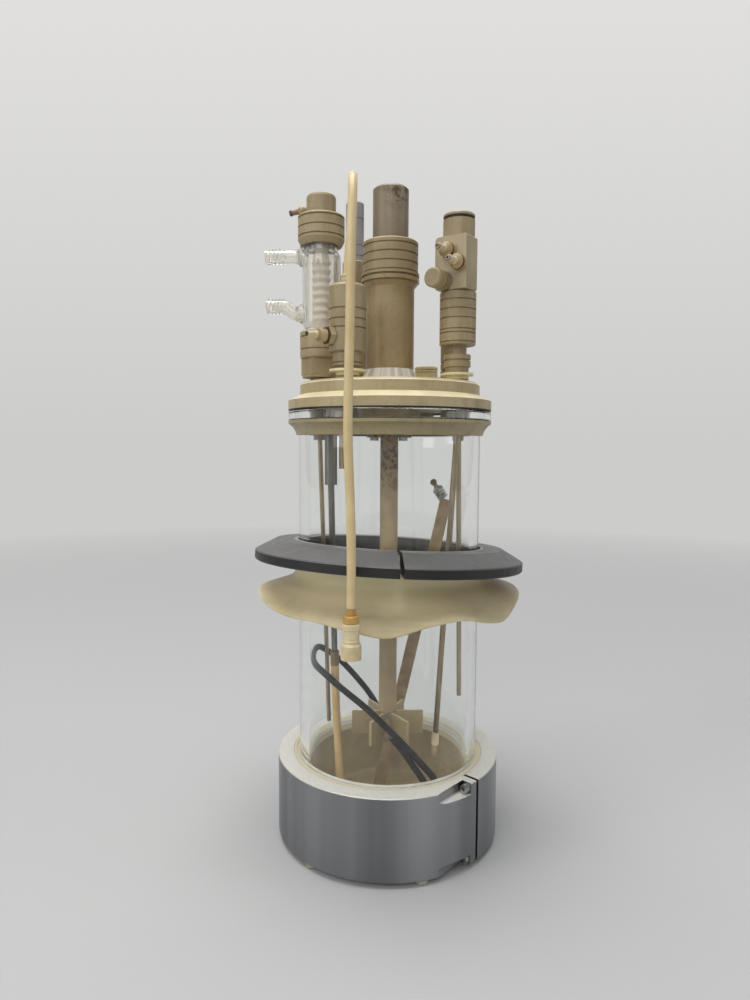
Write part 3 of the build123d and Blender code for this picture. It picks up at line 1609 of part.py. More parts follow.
connector_bottom = 120.7
with BuildPart() as tube_connector:
    turned(
        [
            (3.4, connector_bottom),
            (4.8, connector_bottom),
            (4.8, connector_bottom + 6.6),
            (4.1, connector_bottom + 7.4),
            (3.8, connector_bottom + 7.6),
            (3.8, connector_bottom + 8.4),
            (4.1, connector_bottom + 8.7),
            (3.8, connector_bottom + 9.0),
            (3.8, barb_nut_bottom - 3.0),
            (4.1, barb_nut_bottom - 2.6),
            (4.1, barb_nut_bottom - 0.5),
            (3.7, barb_nut_bottom),
            (1.7 + seat_gap, barb_nut_bottom),
            (1.7 + seat_gap, barb_nut_bottom - 4),
            (3.4, barb_nut_bottom - 6),
        ],
        tube_end,
    )
finish(tube_connector.part, "tube_connector")
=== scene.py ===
"""Looks of the bench bioreactor: finishes for its solids, and its soft pieces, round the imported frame."""
import json
import math
import bpy
from mathutils import Matrix, Vector


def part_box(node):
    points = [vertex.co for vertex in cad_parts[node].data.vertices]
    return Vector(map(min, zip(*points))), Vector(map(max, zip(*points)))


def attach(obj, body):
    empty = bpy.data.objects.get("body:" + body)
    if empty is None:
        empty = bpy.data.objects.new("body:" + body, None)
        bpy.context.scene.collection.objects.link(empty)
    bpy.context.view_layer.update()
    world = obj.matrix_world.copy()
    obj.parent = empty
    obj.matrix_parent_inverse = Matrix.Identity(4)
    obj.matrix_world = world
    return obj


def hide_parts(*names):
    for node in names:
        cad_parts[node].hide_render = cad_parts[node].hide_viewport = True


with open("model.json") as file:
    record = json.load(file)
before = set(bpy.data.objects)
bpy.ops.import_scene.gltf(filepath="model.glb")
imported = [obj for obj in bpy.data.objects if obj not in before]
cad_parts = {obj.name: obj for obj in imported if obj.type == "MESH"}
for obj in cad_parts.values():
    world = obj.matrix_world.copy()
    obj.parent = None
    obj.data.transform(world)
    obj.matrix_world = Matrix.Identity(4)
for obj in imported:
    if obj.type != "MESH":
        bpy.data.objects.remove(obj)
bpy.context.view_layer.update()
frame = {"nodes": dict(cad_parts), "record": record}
nodes = frame["nodes"]
MM = 0.001


# ---------------------------------------------------------------- small helpers
def tone(red, green, blue):
    """A colour written as it looks on a screen, 0 to 255, turned into the linear colour that shaders take."""
    def channel(value):
        value /= 255
        return value / 12.92 if value <= 0.04045 else ((value + 0.055) / 1.055) ** 2.4
    return (channel(red), channel(green), channel(blue), 1.0)


def scaled(colour, share):
    """A colour made lighter or darker, its strength kept."""
    return tuple(min(1.0, part * share) for part in colour[:3]) + (1.0,)


def millimetres(*points):
    """Points written in millimetres, as vectors in metres."""
    return [Vector(point) * MM for point in points]


def deselect_all():
    bpy.ops.object.select_all(action="DESELECT")


# ---------------------------------------------------------------- finishes
WAVE_RADIANS = 20  # that Blender's wave texture turns through in each metre at scale 1


class Finish:
    """A material with one Principled shader, and short ways to add its pattern nodes."""

    def __init__(self, name, **sockets):
        self.material = bpy.data.materials.new(name)
        self.material.use_nodes = True
        self.tree = self.material.node_tree
        self.shader = self.tree.nodes["Principled BSDF"]
        self.output = self.tree.nodes["Material Output"]
        for socket, value in sockets.items():
            self.shader.inputs[socket.replace("_", " ")].default_value = value
        self.place = self.node("ShaderNodeTexCoord").outputs["Object"]

    @classmethod
    def of(cls, material):
        """Takes a finished material up again, to add to it."""
        made = cls.__new__(cls)
        made.material, made.tree = material, material.node_tree
        made.shader = made.tree.nodes["Principled BSDF"]
        made.output = made.tree.nodes["Material Output"]
        made.place = made.tree.nodes["Texture Coordinate"].outputs["Object"]
        return made

    def node(self, kind, settings=None, **inputs):
        """A new node, its inputs given by name; Second is the one after the first, which shares its name."""
        made = self.tree.nodes.new(kind)
        for key, value in (settings or {}).items():
            setattr(made, key, value)
        for key, value in inputs.items():
            socket = made.inputs[1] if key == "Second" else made.inputs[key.replace("_", " ")]
            self.feed(value, socket)
        return made

    def feed(self, value, socket):
        """Gives a socket a fixed value, or links it to another node's output."""
        if isinstance(value, bpy.types.NodeSocket):
            self.tree.links.new(value, socket)
        else:
            socket.default_value = value

    def stretched(self, scale, turn=(0, 0, 0), place=None):
        """Object coordinates, stretched along the axes and turned."""
        mapping = self.node("ShaderNodeMapping", Vector=place or self.place, Scale=scale, Rotation=turn)
        return mapping.outputs["Vector"]

    def noise(self, scale, detail=3.0, roughness=0.55, place=None):
        return self.node(
            "ShaderNodeTexNoise", Vector=place or self.place, Scale=scale, Detail=detail, Roughness=roughness
        ).outputs["Fac"]

    def rings(self, pitch, wander):
        """Turning marks round the reactor's axis, one every pitch metres."""
        settings = {"wave_type": "BANDS", "bands_direction": "Z", "wave_profile": "SIN"}
        scale = math.tau / WAVE_RADIANS / pitch
        return self.node(
            "ShaderNodeTexWave", settings, Vector=self.place, Scale=scale, Distortion=wander
        ).outputs["Fac"]

    def spread(self, value, low, high, out_low=0.0, out_high=1.0):
        """Turns the range from low to high into 0 to 1, or into the range given, and stops at its ends."""
        return self.node(
            "ShaderNodeMapRange", Value=value, From_Min=low, From_Max=high, To_Min=out_low, To_Max=out_high
        ).outputs["Result"]

    def between(self, amount, first, second):
        """A colour on the way from the first to the second."""
        mix = self.node("ShaderNodeMix", {"data_type": "RGBA"})
        for value, number in ((amount, 0), (first, 6), (second, 7)):
            self.feed(value, mix.inputs[number])
        return mix.outputs[2]

    def maths(self, operation, first, second):
        made = self.node("ShaderNodeMath", {"operation": operation}, Value=first, Second=second)
        return made.outputs[0]

    def times(self, first, second):
        return self.maths("MULTIPLY", first, second)

    def larger(self, first, second):
        return self.maths("MAXIMUM", first, second)

    def vectors(self, operation, first, **others):
        """One step of vector maths, whose answer is taken as its Vector or its Value."""
        return self.node("ShaderNodeVectorMath", {"operation": operation}, Vector=first, **others).outputs

    def upward(self, low=0.55, high=0.95):
        """1 on faces that look up, 0 on upright ones: the mask by which the finishes paint light on upward
        faces.
        """
        normal = self.node("ShaderNodeNewGeometry").outputs["Normal"]
        return self.spread(self.node("ShaderNodeSeparateXYZ", Vector=normal).outputs["Z"], low, high)

    def along(self, axis, low, high):
        """0 to 1 along an axis of the reactor, between two places in metres."""
        return self.spread(self.node("ShaderNodeSeparateXYZ", Vector=self.place).outputs[axis], low, high)

    def from_axis(self, near, far):
        """0 to 1 outward from the reactor's axis, between two radii in metres."""
        flat = self.stretched((1, 1, 0))
        return self.spread(self.vectors("LENGTH", flat)["Value"], near, far)

    def fan(self, scale, turn=0.0):
        """Noise that changes only round the reactor's axis, like light on a faced surface."""
        flat = self.stretched((1, 1, 0))
        turned = self.stretched((1, 1, 1), (0, 0, turn), self.vectors("NORMALIZE", flat)["Vector"])
        return self.noise(scale, 3.0, 0.6, turned)

    def out_along(self, start, way):
        """The distance from a point along a direction, in millimetres."""
        from_start = self.vectors("SUBTRACT", self.place, Second=start)["Vector"]
        return self.vectors("DOT_PRODUCT", from_start, Second=tuple(part / MM for part in way))["Value"]

    def near(self, point, reach):
        """1 at a point, falling to 0 at a distance from it."""
        apart = self.vectors("DISTANCE", self.place, Second=point)["Value"]
        return self.spread(apart, reach, 0.4 * reach)

    def set(self, socket, value):
        """Links a pattern to the shader."""
        self.tree.links.new(value, self.shader.inputs[socket])

    def bumps(self, *layers):
        """Bump layers as (height, depth in metres), one on another."""
        normal = None
        for height, depth in layers:
            bump = self.node("ShaderNodeBump", Height=height, Distance=depth, Strength=1.0)
            if normal is not None:
                self.tree.links.new(normal, bump.inputs["Normal"])
            normal = bump.outputs["Normal"]
        self.tree.links.new(normal, self.shader.inputs["Normal"])

    def give_way(self, share, other):
        """Shows another shader in place of this one, by a share."""
        mix = self.node("ShaderNodeMixShader")
        for value, socket in zip((share, self.shader.outputs[0], other.outputs[0]), mix.inputs):
            self.tree.links.new(value, socket)
        self.tree.links.new(mix.outputs[0], self.output.inputs["Surface"])

    def lets_lamps_through(self, tint=(1, 1, 1, 1)):
        """Clear glass: rays from lamps pass straight through, so that what is inside is lit."""
        ray = self.node("ShaderNodeLightPath").outputs
        self.give_way(ray["Is Shadow Ray"], self.node("ShaderNodeBsdfTransparent", Color=tint))


def turned_plastic(
    name, light, dark, roughness=0.42, top=1.16, stain=None, pitch=0.45 * MM, marks=0.010 * MM
):
    """Turned bar stock: fine tool rings, faint handling stains, small dark specks, and a painted highlight
    that makes upward faces paler.
    """
    made = Finish(name, Roughness=roughness, Specular_IOR_Level=0.45)
    colour = made.between(made.spread(made.noise(38.0, 4.0, 0.6), 0.35, 0.68), light, dark)
    streaks = made.noise(1.0, 3.0, 0.6, made.stretched((170, 170, 18)))
    colour = made.between(made.spread(streaks, 0.52, 0.78, 0, 0.4), colour, scaled(dark, 0.62))
    specks = made.spread(made.noise(620.0, 2.0), 0.62, 0.72, 0, 0.35)
    colour = made.between(specks, colour, scaled(dark, 0.42))
    if stain is not None:
        spots = made.times(made.spread(made.noise(230.0, 5.0, 0.7), 0.47, 0.56), made.near(*stain))
        colour = made.between(made.times(spots, 0.8), colour, tone(78, 58, 44))
    # painted highlight: upward faces are painted lighter, by the top share squared
    colour = made.between(made.upward(), colour, scaled(light, top * top))
    made.set("Base Color", colour)
    made.set("Roughness", made.spread(made.noise(95.0, 3.0), 0.3, 0.7, roughness - 0.08, roughness + 0.10))
    made.bumps((made.rings(pitch, 0.4), marks), (made.noise(1400.0, 2.0), 0.006 * MM))
    return made.material


PAINTED_REFLECTION_TURN = -0.5  # of the collar's painted reflection, its bright and dark flanks, round the axis, in radians


def anodised(name, light, dark, roughness, pitch=0.35 * MM):
    """Turned and anodised aluminium: fine rings, a painted reflection in bright and dark flanks round its
    side, and upward faces painted pale as a painted reflection, less metallic and rougher.
    """
    made = Finish(name, Metallic=1.0, Roughness=roughness, Specular_IOR_Level=0.5)
    # painted reflection: bright and dark flanks round the collar's side
    painted_reflection_flanks = made.spread(made.fan(1.2, PAINTED_REFLECTION_TURN), 0.35, 0.65)
    drawn = made.noise(1.0, 4.0, 0.7, made.stretched((60, 60, 2600)))
    # painted reflection: upward faces pale, less metallic and rougher
    painted_top_reflection = made.upward(0.35, 0.8)
    grain = made.spread(made.noise(900.0, 2.0), 0.3, 0.7)
    face = made.between(grain, tone(238, 236, 228), tone(226, 223, 213))
    made.set("Base Color", made.between(painted_top_reflection, made.between(painted_reflection_flanks, light, dark), face))
    made.set("Metallic", made.spread(painted_top_reflection, 0, 1, 1.0, 0.15))
    rough = made.spread(drawn, 0.3, 0.7, roughness - 0.06, roughness + 0.08)
    made.set("Roughness", made.larger(rough, made.times(painted_top_reflection, 0.5)))
    made.bumps((made.rings(pitch, 0.8), 0.004 * MM), (drawn, 0.004 * MM))
    return made.material


def machined_black(name, light, dark, bore):
    """Black engineering plastic: upward faces painted grey as painted light with dust mottled in, a few
    scuffs, and a painted highlight round its bore.
    """
    made = Finish(name, Roughness=0.45, Specular_IOR_Level=0.5)
    scratched = made.stretched((500, 90, 500), (0, 0, 0.6))
    scuffs = made.spread(made.noise(1.0, 5.0, 0.75, scratched), 0.6, 0.75, 0, 0.5)
    side = made.between(made.spread(made.noise(150.0, 3.0), 0.35, 0.65), dark, scaled(dark, 1.35))
    # painted light: upward faces take this grey tone, mottled as dust
    dust_and_painted_top_light = made.between(made.spread(made.noise(42.0, 4.0, 0.6), 0.3, 0.7), light, scaled(light, 0.72))
    # painted highlight: pale round the bore's edge
    dust_and_painted_top_light = made.between(made.from_axis(bore + 0.8 * MM, bore), dust_and_painted_top_light, scaled(light, 2.4))
    colour = made.between(made.upward(0.5, 0.9), side, made.between(scuffs, dust_and_painted_top_light, scaled(light, 1.5)))
    made.set("Base Color", colour)
    made.set("Roughness", made.spread(made.noise(240.0, 3.0), 0.3, 0.7, 0.38, 0.55))
    made.bumps((made.noise(1500.0, 2.0), 0.006 * MM))
    return made.material


def plain_plastic(name, light, dark, roughness=0.45, clear=0.0, shine=0.45):
    """Moulded plastic with a little unevenness."""
    made = Finish(name, Roughness=roughness, Specular_IOR_Level=shine, Transmission_Weight=clear)
    made.set("Base Color", made.between(made.spread(made.noise(130.0), 0.35, 0.65), light, dark))
    made.bumps((made.noise(900.0, 2.0), 0.008 * MM))
    return made.material


def silicone(name, light, dark, roughness=0.38, glow=0.25):
    """Translucent silicone rubber."""
    made = Finish(name, Roughness=roughness, Specular_IOR_Level=0.4)
    for socket, value in (("Weight", glow), ("Scale", 3 * MM), ("Radius", (1.0, 0.75, 0.45))):
        made.shader.inputs["Subsurface " + socket].default_value = value
    cloudy = made.spread(made.noise(55.0, 4.0, 0.6), 0.3, 0.7)
    made.set("Base Color", made.between(cloudy, light, dark))
    made.bumps((made.noise(320.0, 2.0), 0.02 * MM))
    return made.material


def drooping_silicone(name, light, dark, rim_radius, neck_foot, neck_top):
    """The drip skirt's silicone: faint streaks round it, painted light that pales it toward the neck, and a
    painted highlight along its rim.
    """
    made = Finish.of(silicone(name, light, dark, 0.42, 0.45))
    colour = made.shader.inputs["Base Color"].links[0].from_socket
    streaks = made.noise(1.0, 4.0, 0.65, made.stretched((30, 30, 420)))
    colour = made.between(made.spread(streaks, 0.5, 0.75, 0, 0.5), colour, scaled(dark, 0.8))
    # painted light: paler toward the neck, against the shade under the ring
    colour = made.between(made.along("Z", neck_foot, neck_top), colour, scaled(light, 1.5))
    # painted highlight: pale along the rim
    rim = made.from_axis(rim_radius - 0.8 * MM, rim_radius)
    made.set("Base Color", made.between(rim, colour, scaled(light, 1.35)))
    return made.material


def drawn_steel(name, light, dark, roughness=0.3):
    """Drawn stainless tube and rod."""
    made = Finish(name, Metallic=1.0, Roughness=roughness)
    streaks = made.noise(1.0, 3.0, 0.6, made.stretched((900, 900, 25)))
    made.set("Base Color", made.between(made.spread(streaks, 0.3, 0.7), light, dark))
    made.set("Roughness", made.spread(streaks, 0.2, 0.8, roughness - 0.06, roughness + 0.12))
    return made.material


def clear_glass(name, tint=(1, 1, 1, 1), roughness=0.0, haze=0.0, index=1.47, milk=0.0, ground_below=None):
    """Clear borosilicate glass; milk is the share of white that old lampblown glass takes on."""
    made = Finish(name, Base_Color=tint, Roughness=roughness, IOR=index, Transmission_Weight=1.0 - milk)
    if haze:
        made.bumps((made.noise(90.0, 2.0), haze))
    if ground_below:
        foot = made.along("Z", ground_below, ground_below - 0.5 * MM)
        ground = made.times(foot, made.spread(made.noise(260.0, 2.0), 0.3, 0.7, 0.6, 0.9))
        made.set("Transmission Weight", made.spread(ground, 0, 1, 1, 0))
        made.set("Roughness", made.spread(ground, 0, 1, 0.0, 0.6))
    made.lets_lamps_through(tint)
    return made.material


def banded(name, start, way, *bands):
    """A barb turned in one piece and coloured in bands, each from its distance along the barb, mm: the barb's
    own tones, and on some barbs painted shade in narrow dark groove bands and a painted highlight in a pale
    cone band.
    """
    stock = bands[0][1]
    # a milder painted highlight on upward faces
    made = Finish.of(turned_plastic(name, stock, scaled(stock, 0.75), 0.34, top=1.1, pitch=0.3 * MM))
    out = made.out_along(start, way)
    mottled = made.spread(made.noise(300.0, 3.0, 0.6), 0.35, 0.65)
    colour = made.shader.inputs["Base Color"].links[0].from_socket
    for begin, paint in bands[1:]:
        band = made.between(mottled, paint, scaled(paint, 0.78))
        colour = made.between(made.spread(out, begin - 0.1, begin + 0.1), colour, band)
    made.set("Base Color", colour)
    return made.material


# where handling has stained the stock, and how far round that point
TUBE_STAIN = (*millimetres((-4, -6, 215)), 30 * MM)
CAN_STAIN = (*millimetres((6.5, -9.5, 355)), 14 * MM)
RING_BORE = 52.2 * MM  # the support ring's bore, round which a painted highlight runs pale
SKIRT_RIM = 72.7 * MM  # from this radius out the skirt's rim carries a painted highlight
SKIRT_NECK = (137 * MM, 150 * MM)  # the heights between which painted light pales it toward the neck
GROUND_FOOT_TOP = 46.2 * MM  # the vessel's glass is ground below this height

# one finish for each material slot of the record
finishes = {
    "peek": turned_plastic("turned_peek", tone(166, 149, 116), tone(146, 130, 98)),
    # a stronger painted highlight on upward faces
    "gland_peek": turned_plastic("gland_peek", tone(164, 149, 118), tone(142, 126, 95), top=1.3),
    "tube_peek": turned_plastic("tube_peek", tone(160, 141, 106), tone(134, 114, 82), stain=TUBE_STAIN),
    "impeller_plastic": turned_plastic("impeller_plastic", tone(160, 143, 107), tone(142, 125, 90)),
    "can_grey": turned_plastic("can_grey", tone(139, 126, 104), tone(126, 113, 91), 0.38, stain=CAN_STAIN),
    "barb_plastic": turned_plastic("barb_plastic", tone(196, 176, 138), tone(168, 144, 104), 0.32),
    "probe_grey": turned_plastic("probe_grey", tone(166, 160, 160), tone(142, 136, 137), 0.4),
    "bearing_white": plain_plastic("bearing_white", tone(225, 224, 218), tone(208, 206, 198)),
    "ferrule_brown": plain_plastic("ferrule_brown", tone(136, 108, 74), tone(108, 84, 56)),
    "sparger_sinter": plain_plastic("sparger_sinter", tone(216, 200, 168), tone(188, 170, 136), 0.7),
    "bar_brown": plain_plastic("bar_brown", tone(162, 139, 102), tone(130, 107, 74), 0.4),
    "tube_barb_amber": plain_plastic("tube_barb_amber", tone(214, 172, 98), tone(190, 146, 76), 0.25, 0.15),
    "connector_cream": plain_plastic("connector_cream", tone(216, 201, 162), tone(196, 178, 136), 0.35),
    "gasket_rubber": plain_plastic("gasket_rubber", tone(46, 42, 38), tone(34, 31, 28), 0.55),
    "foot_rubber": plain_plastic("foot_rubber", tone(166, 162, 150), tone(136, 131, 118), 0.6),
    "o_ring_black": plain_plastic("o_ring_black", tone(12, 12, 13), tone(7, 7, 8), 0.6, shine=0.15),
    "collar_aluminium": anodised("collar_aluminium", tone(164, 165, 167), tone(104, 105, 109), 0.33),
    "ring_black": machined_black("ring_black", tone(106, 105, 104), tone(29, 28, 30), RING_BORE),
    "amber_silicone": drooping_silicone(
        "amber_silicone", tone(206, 194, 160), tone(187, 173, 136), SKIRT_RIM, *SKIRT_NECK
    ),
    "air_tube_silicone": silicone("air_tube_silicone", tone(216, 198, 156), tone(200, 178, 132), 0.28, 0.3),
    "hose_beige": silicone("hose_beige", tone(200, 174, 126), tone(176, 148, 98), 0.4, 0.2),
    "screw_steel": drawn_steel("screw_steel", tone(190, 188, 184), tone(150, 148, 144)),
    "shaft_steel": drawn_steel("shaft_steel", tone(200, 198, 192), tone(165, 162, 156)),
    "pipe_steel": drawn_steel("pipe_steel", tone(168, 152, 122), tone(128, 110, 80), 0.34),
    "rotor_steel": drawn_steel("rotor_steel", tone(185, 184, 180), tone(150, 148, 144)),
    "borosilicate_glass": clear_glass(
        "borosilicate_glass", (0.985, 0.995, 0.985, 1), ground_below=GROUND_FOOT_TOP
    ),
    "condenser_glass": clear_glass("condenser_glass", (0.89, 0.875, 0.835, 1), 0.02, 0.02 * MM, 1.47, 0.09),
    "coil_glass": clear_glass("coil_glass", (0.78, 0.745, 0.67, 1), 0.2, 0.0, 1.12, 0.5),
}


CUP_LIP = (40.5 * MM, 41.5 * MM)  # the cup turns from its mottled inside tone to pale between these heights


def lipped_cup():
    """The cup: mottled inside, pale on the lip that the glass stands in."""
    made = Finish("cup_peek", Roughness=0.45, Specular_IOR_Level=0.45)
    stains = made.spread(made.noise(34.0, 4.0, 0.65), 0.35, 0.68)
    inside = made.between(stains, tone(178, 164, 128), tone(150, 134, 98))
    lip = made.along("Z", *CUP_LIP)
    made.set("Base Color", made.between(lip, inside, tone(224, 214, 188)))
    made.bumps((made.rings(0.5 * MM, 0.4), 0.01 * MM))
    return made.material


def fitting_plastic(tip_height):
    """The loose fitting: grey-green with pale crests and a brown ball end."""
    made = Finish("fitting_green", Roughness=0.5, Specular_IOR_Level=0.45)
    mottled = made.spread(made.noise(420.0, 3.0, 0.6), 0.4, 0.6)
    body = made.between(mottled, tone(186, 190, 174), tone(122, 128, 114))
    brown = made.along("Z", tip_height, tip_height + 0.4 * MM)
    made.set("Base Color", made.between(brown, body, tone(112, 92, 70)))
    made.bumps((made.noise(600.0, 3.0), 0.05 * MM))
    return made.material


def faced_plastic(name, light, dark, faced, shine, dull, all_round=False):
    """Turned stock with a faced zone between two heights that catches the light in a fan."""
    made = Finish.of(turned_plastic(name, light, dark, 0.38))
    low, high = faced
    fade = 0.3 * MM
    zone = made.times(made.along("Z", high + fade, high), made.along("Z", low - fade, low))
    if not all_round:
        zone = made.times(zone, made.upward(0.1, 0.25))
    # painted reflection: the zone is painted pale in a fan round the axis
    fan = made.between(made.spread(made.fan(5.0), 0.42, 0.6), scaled(shine, dull), shine)
    colour = made.shader.inputs["Base Color"].links[0].from_socket
    made.set("Base Color", made.between(zone, colour, fan))
    return made.material


FITTING_BALL_FOOT = 195.2 * MM
finishes["cup_peek"] = lipped_cup()
finishes["fitting_green"] = fitting_plastic(FITTING_BALL_FOOT)

plate_foot, plate_top = (corner[2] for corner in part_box("head_plate"))
housing_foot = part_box("stirrer_housing")[0][2]
DISC = (plate_top + 2.0 * MM, plate_top + 4.95 * MM)  # of the ports' thin discs, just above the plate


def with_pale_disc(name):
    """Port adapter stock whose thin disc is painted pale in a fan, as a painted reflection."""
    light, dark, shine = tone(166, 149, 116), tone(146, 130, 98), tone(234, 224, 178)
    return faced_plastic(name, light, dark, DISC, shine, 0.85, all_round=True)


def toward(bearing):
    """The level direction at a bearing in degrees, counted round the reactor's axis from +X."""
    return Vector((math.cos(math.radians(bearing)), math.sin(math.radians(bearing)), 0))


# where each banded barb starts, and the way it points
BLOCK_REACH = 8.6 * MM  # from the feed column's axis to the block's flat face
block_out = toward(-124.5)
block_middle = sum((Vector(corner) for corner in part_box("feed_column")), Vector()) / 2
block_face = block_middle + BLOCK_REACH * block_out
vent_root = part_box("vent_barb")[1]
vent_out = toward(180)
(SIDE_BARB_START,) = millimetres((-29.0, -36.5, 272.6))
side_barb_out = toward(215)

# nodes whose stock, wear or painted light differs a little from the rest of their slot
special = {
    "head_plate": faced_plastic(
        "plate_peek", tone(184, 168, 132), tone(168, 151, 115), (plate_foot, plate_top - 1 * MM),
        tone(232, 219, 178), 0.9,
    ),
    "flange_backing_ring": turned_plastic("backing_peek", tone(166, 154, 120), tone(148, 135, 101)),
    "stirrer_housing": faced_plastic(
        "housing_peek", tone(168, 148, 111), tone(143, 123, 87), (housing_foot, housing_foot + 8 * MM),
        tone(236, 230, 216), 0.62,
    ),
    "feed_block": turned_plastic("block_peek", tone(180, 167, 136), tone(166, 152, 122), 0.38),
    "port_plug": turned_plastic(
        "plug_peek", tone(212, 201, 156), tone(188, 176, 132), pitch=1.6 * MM, marks=0.12 * MM
    ),
    "sparger_sleeve": finishes["sparger_sinter"],
    "sparger_tip": plain_plastic("tip_tan", tone(190, 162, 126), tone(152, 122, 90), 0.5),
    "sample_port_adapter": with_pale_disc("sample_adapter_peek"),
    "feed_adapter": with_pale_disc("feed_adapter_peek"),
    "harvest_pipe": drawn_steel("dark_pipe", tone(124, 120, 112), tone(88, 84, 78)),
    # painted shade in the groove band from 2.2 mm, a painted highlight in the pale cone band from 6.4 mm
    "feed_barbs": banded(
        "feed_barb_peek", block_face, block_out,
        (0, tone(186, 160, 118)), (2.2, tone(112, 86, 56)), (3.45, tone(192, 168, 124)),
        (5.0, tone(168, 144, 102)), (6.4, tone(212, 198, 164)), (12.0, tone(160, 138, 120)),
    ),
    "vent_barb": banded(
        "vent_barb_peek", vent_root, vent_out,
        (0, tone(172, 152, 114)), (7.4, tone(140, 114, 94)), (11.0, tone(112, 86, 76)),
    ),
    # painted shade in the groove band from 3.0 mm, a painted highlight in the pale cone band from 8.7 mm
    "sample_side_barb": banded(
        "side_barb_peek", SIDE_BARB_START, side_barb_out,
        (0, tone(186, 168, 130)), (3.0, tone(104, 82, 54)), (3.75, tone(190, 170, 130)),
        (7.8, tone(150, 128, 90)), (8.7, tone(216, 200, 160)), (13.9, tone(84, 66, 46)),
    ),
}

slot_of = {row["node"]: row["material_slot"] for row in frame["record"]["subparts"]}
for name, node in nodes.items():
    for place in node.material_slots:
        place.material = special.get(name) or finishes[slot_of[name]]


def dress(piece, slot_name, body="reactor"):
    """Gives a new piece the finish of a record slot, and the body it rides on."""
    piece.data.materials.clear()
    piece.data.materials.append(finishes[slot_name])
    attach(piece, body)


# ---------------------------------------------------------------- soft lines: tube, hose and slack ring
def soft_line(name, route, radius, closed=False):
    """A round flexible line whose route's points are the control points of one smooth spline."""
    curve = bpy.data.curves.new(name, "CURVE")
    curve.dimensions = "3D"
    spline = curve.splines.new("NURBS")
    spline.points.add(len(route) - 1)
    for point, at in zip(spline.points, route):
        point.co = (*at, 1)
    spline.order_u = 3
    spline.use_endpoint_u = not closed
    spline.use_cyclic_u = closed
    spline.resolution_u = 12
    curve.bevel_depth = radius
    curve.bevel_resolution = 5
    curve.use_fill_caps = not closed
    piece = bpy.data.objects.new(name, curve)
    bpy.context.collection.objects.link(piece)
    return piece


AIR_TUBE_RADIUS, HOSE_RADIUS, SLACK_RING_RADIUS = 2.15 * MM, 2.25 * MM, 1.75 * MM

air_route = millimetres(
    (-21.524, -31.317, 303.7), (-21.224, -31.117, 314.0), (-19.9, -31.6, 325.0), (-19.0, -35.6, 334.8),
    (-18.1, -45.6, 341.5), (-17.5, -57.6, 343.0), (-17.0, -68.6, 337.4), (-16.8, -75.0, 327.0),
    (-17.3, -77.0, 308.5), (-17.5, -76.6, 282.0), (-18.2, -76.9, 248.0), (-18.7, -76.8, 222.0),
    (-17.5, -76.3, 196.0), (-16.7, -76.9, 168.0), (-16.9, -76.5, 144.4),
)
air_line = soft_line("air_line", air_route, AIR_TUBE_RADIUS)
dress(air_line, "air_tube_silicone")
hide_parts("air_tube")

hose_route = millimetres(
    (-29.3, -9.016, 96.85), (-29.138, -6.5, 73.0), (-26.8, -10.5, 46.0), (-25.6, -13.5, 24.0),
    (-24.2, -18.5, 14.8),
)
drain_hose = soft_line("drain_hose", hose_route, HOSE_RADIUS)
dress(drain_hose, "hose_beige")
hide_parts("harvest_hose")

ring_route = millimetres(
    (-33.0, -12.3, 91.6), (-25.7, -15.0, 86.0), (-9, -21.5, 75.2), (7.3, -26.5, 60.4), (16.4, -30.0, 51.7),
    (25.1, -32.5, 42.8), (31.0, -29.5, 24.0), (27.0, -26.0, 13.0), (22.0, -24.0, 34.0), (14.5, -15.5, 42.0),
    (7.3, 0, 46.0), (-1.5, 21.0, 46.5), (-6.5, 25.5, 63.3), (-26, 17, 89.3), (-35.5, 11, 98.6),
    (-42.4, 3.5, 104.4), (-42.8, -8.5, 98.6),
)
slack_ring = soft_line("slack_ring", ring_route, SLACK_RING_RADIUS, closed=True)
dress(slack_ring, "o_ring_black")
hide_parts("loose_o_ring")


# ---------------------------------------------------------------- loose fitting
FITTING_FOOT, FITTING_TIP = millimetres((33.5, 25.8, 187.3), (26.8, 25.8, 197.0))
CREST_PITCH = 1.6  # mm
crests = [
    (out, along + turn * CREST_PITCH)
    for turn in range(3)
    for out, along in ((3.5, 0.5), (3.5, 0.9), (2.9, 1.3), (2.9, 1.7))
]
# (radius, distance from the foot) in mm
fitting_profile = (
    (1.0, 0.0), (3.1, 0.0), *crests, (3.4, 5.3), (3.4, 6.6), (2.7, 7.4), (1.7, 8.0), (1.3, 9.2),
    (1.5, 9.9), (1.95, 10.5), (2.1, 11.3), (1.95, 12.1), (1.4, 12.8), (0.5, 13.2),
)


def make_fitting():
    """A small threaded fitting with a ball end that leans behind the loose bar's upper end."""
    deselect_all()
    bpy.ops.mesh.primitive_circle_add(vertices=40, radius=fitting_profile[0][0] * MM, fill_type="NGON")
    fitting = bpy.context.object
    fitting.name = "threaded_fitting"
    bpy.ops.object.mode_set(mode="EDIT")
    bpy.ops.mesh.select_all(action="SELECT")
    for (near, below), (far, above) in zip(fitting_profile, fitting_profile[1:]):
        bpy.ops.mesh.extrude_region_move(TRANSFORM_OT_translate={"value": (0, 0, (above - below) * MM)})
        bpy.ops.transform.resize(value=(far / near, far / near, 1), center_override=(0, 0, above * MM))
    bpy.ops.mesh.select_all(action="SELECT")
    bpy.ops.mesh.normals_make_consistent(inside=False)
    bpy.ops.object.mode_set(mode="OBJECT")
    fitting.location = FITTING_FOOT
    fitting.rotation_euler = (FITTING_TIP - FITTING_FOOT).to_track_quat("Z", "Y").to_euler()
    bpy.ops.object.transform_apply(location=True, rotation=True, scale=True)
    bpy.ops.object.shade_smooth_by_angle(angle=math.radians(40))
    return fitting


threaded_fitting = make_fitting()
dress(threaded_fitting, "fitting_green")
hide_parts("loose_fitting")


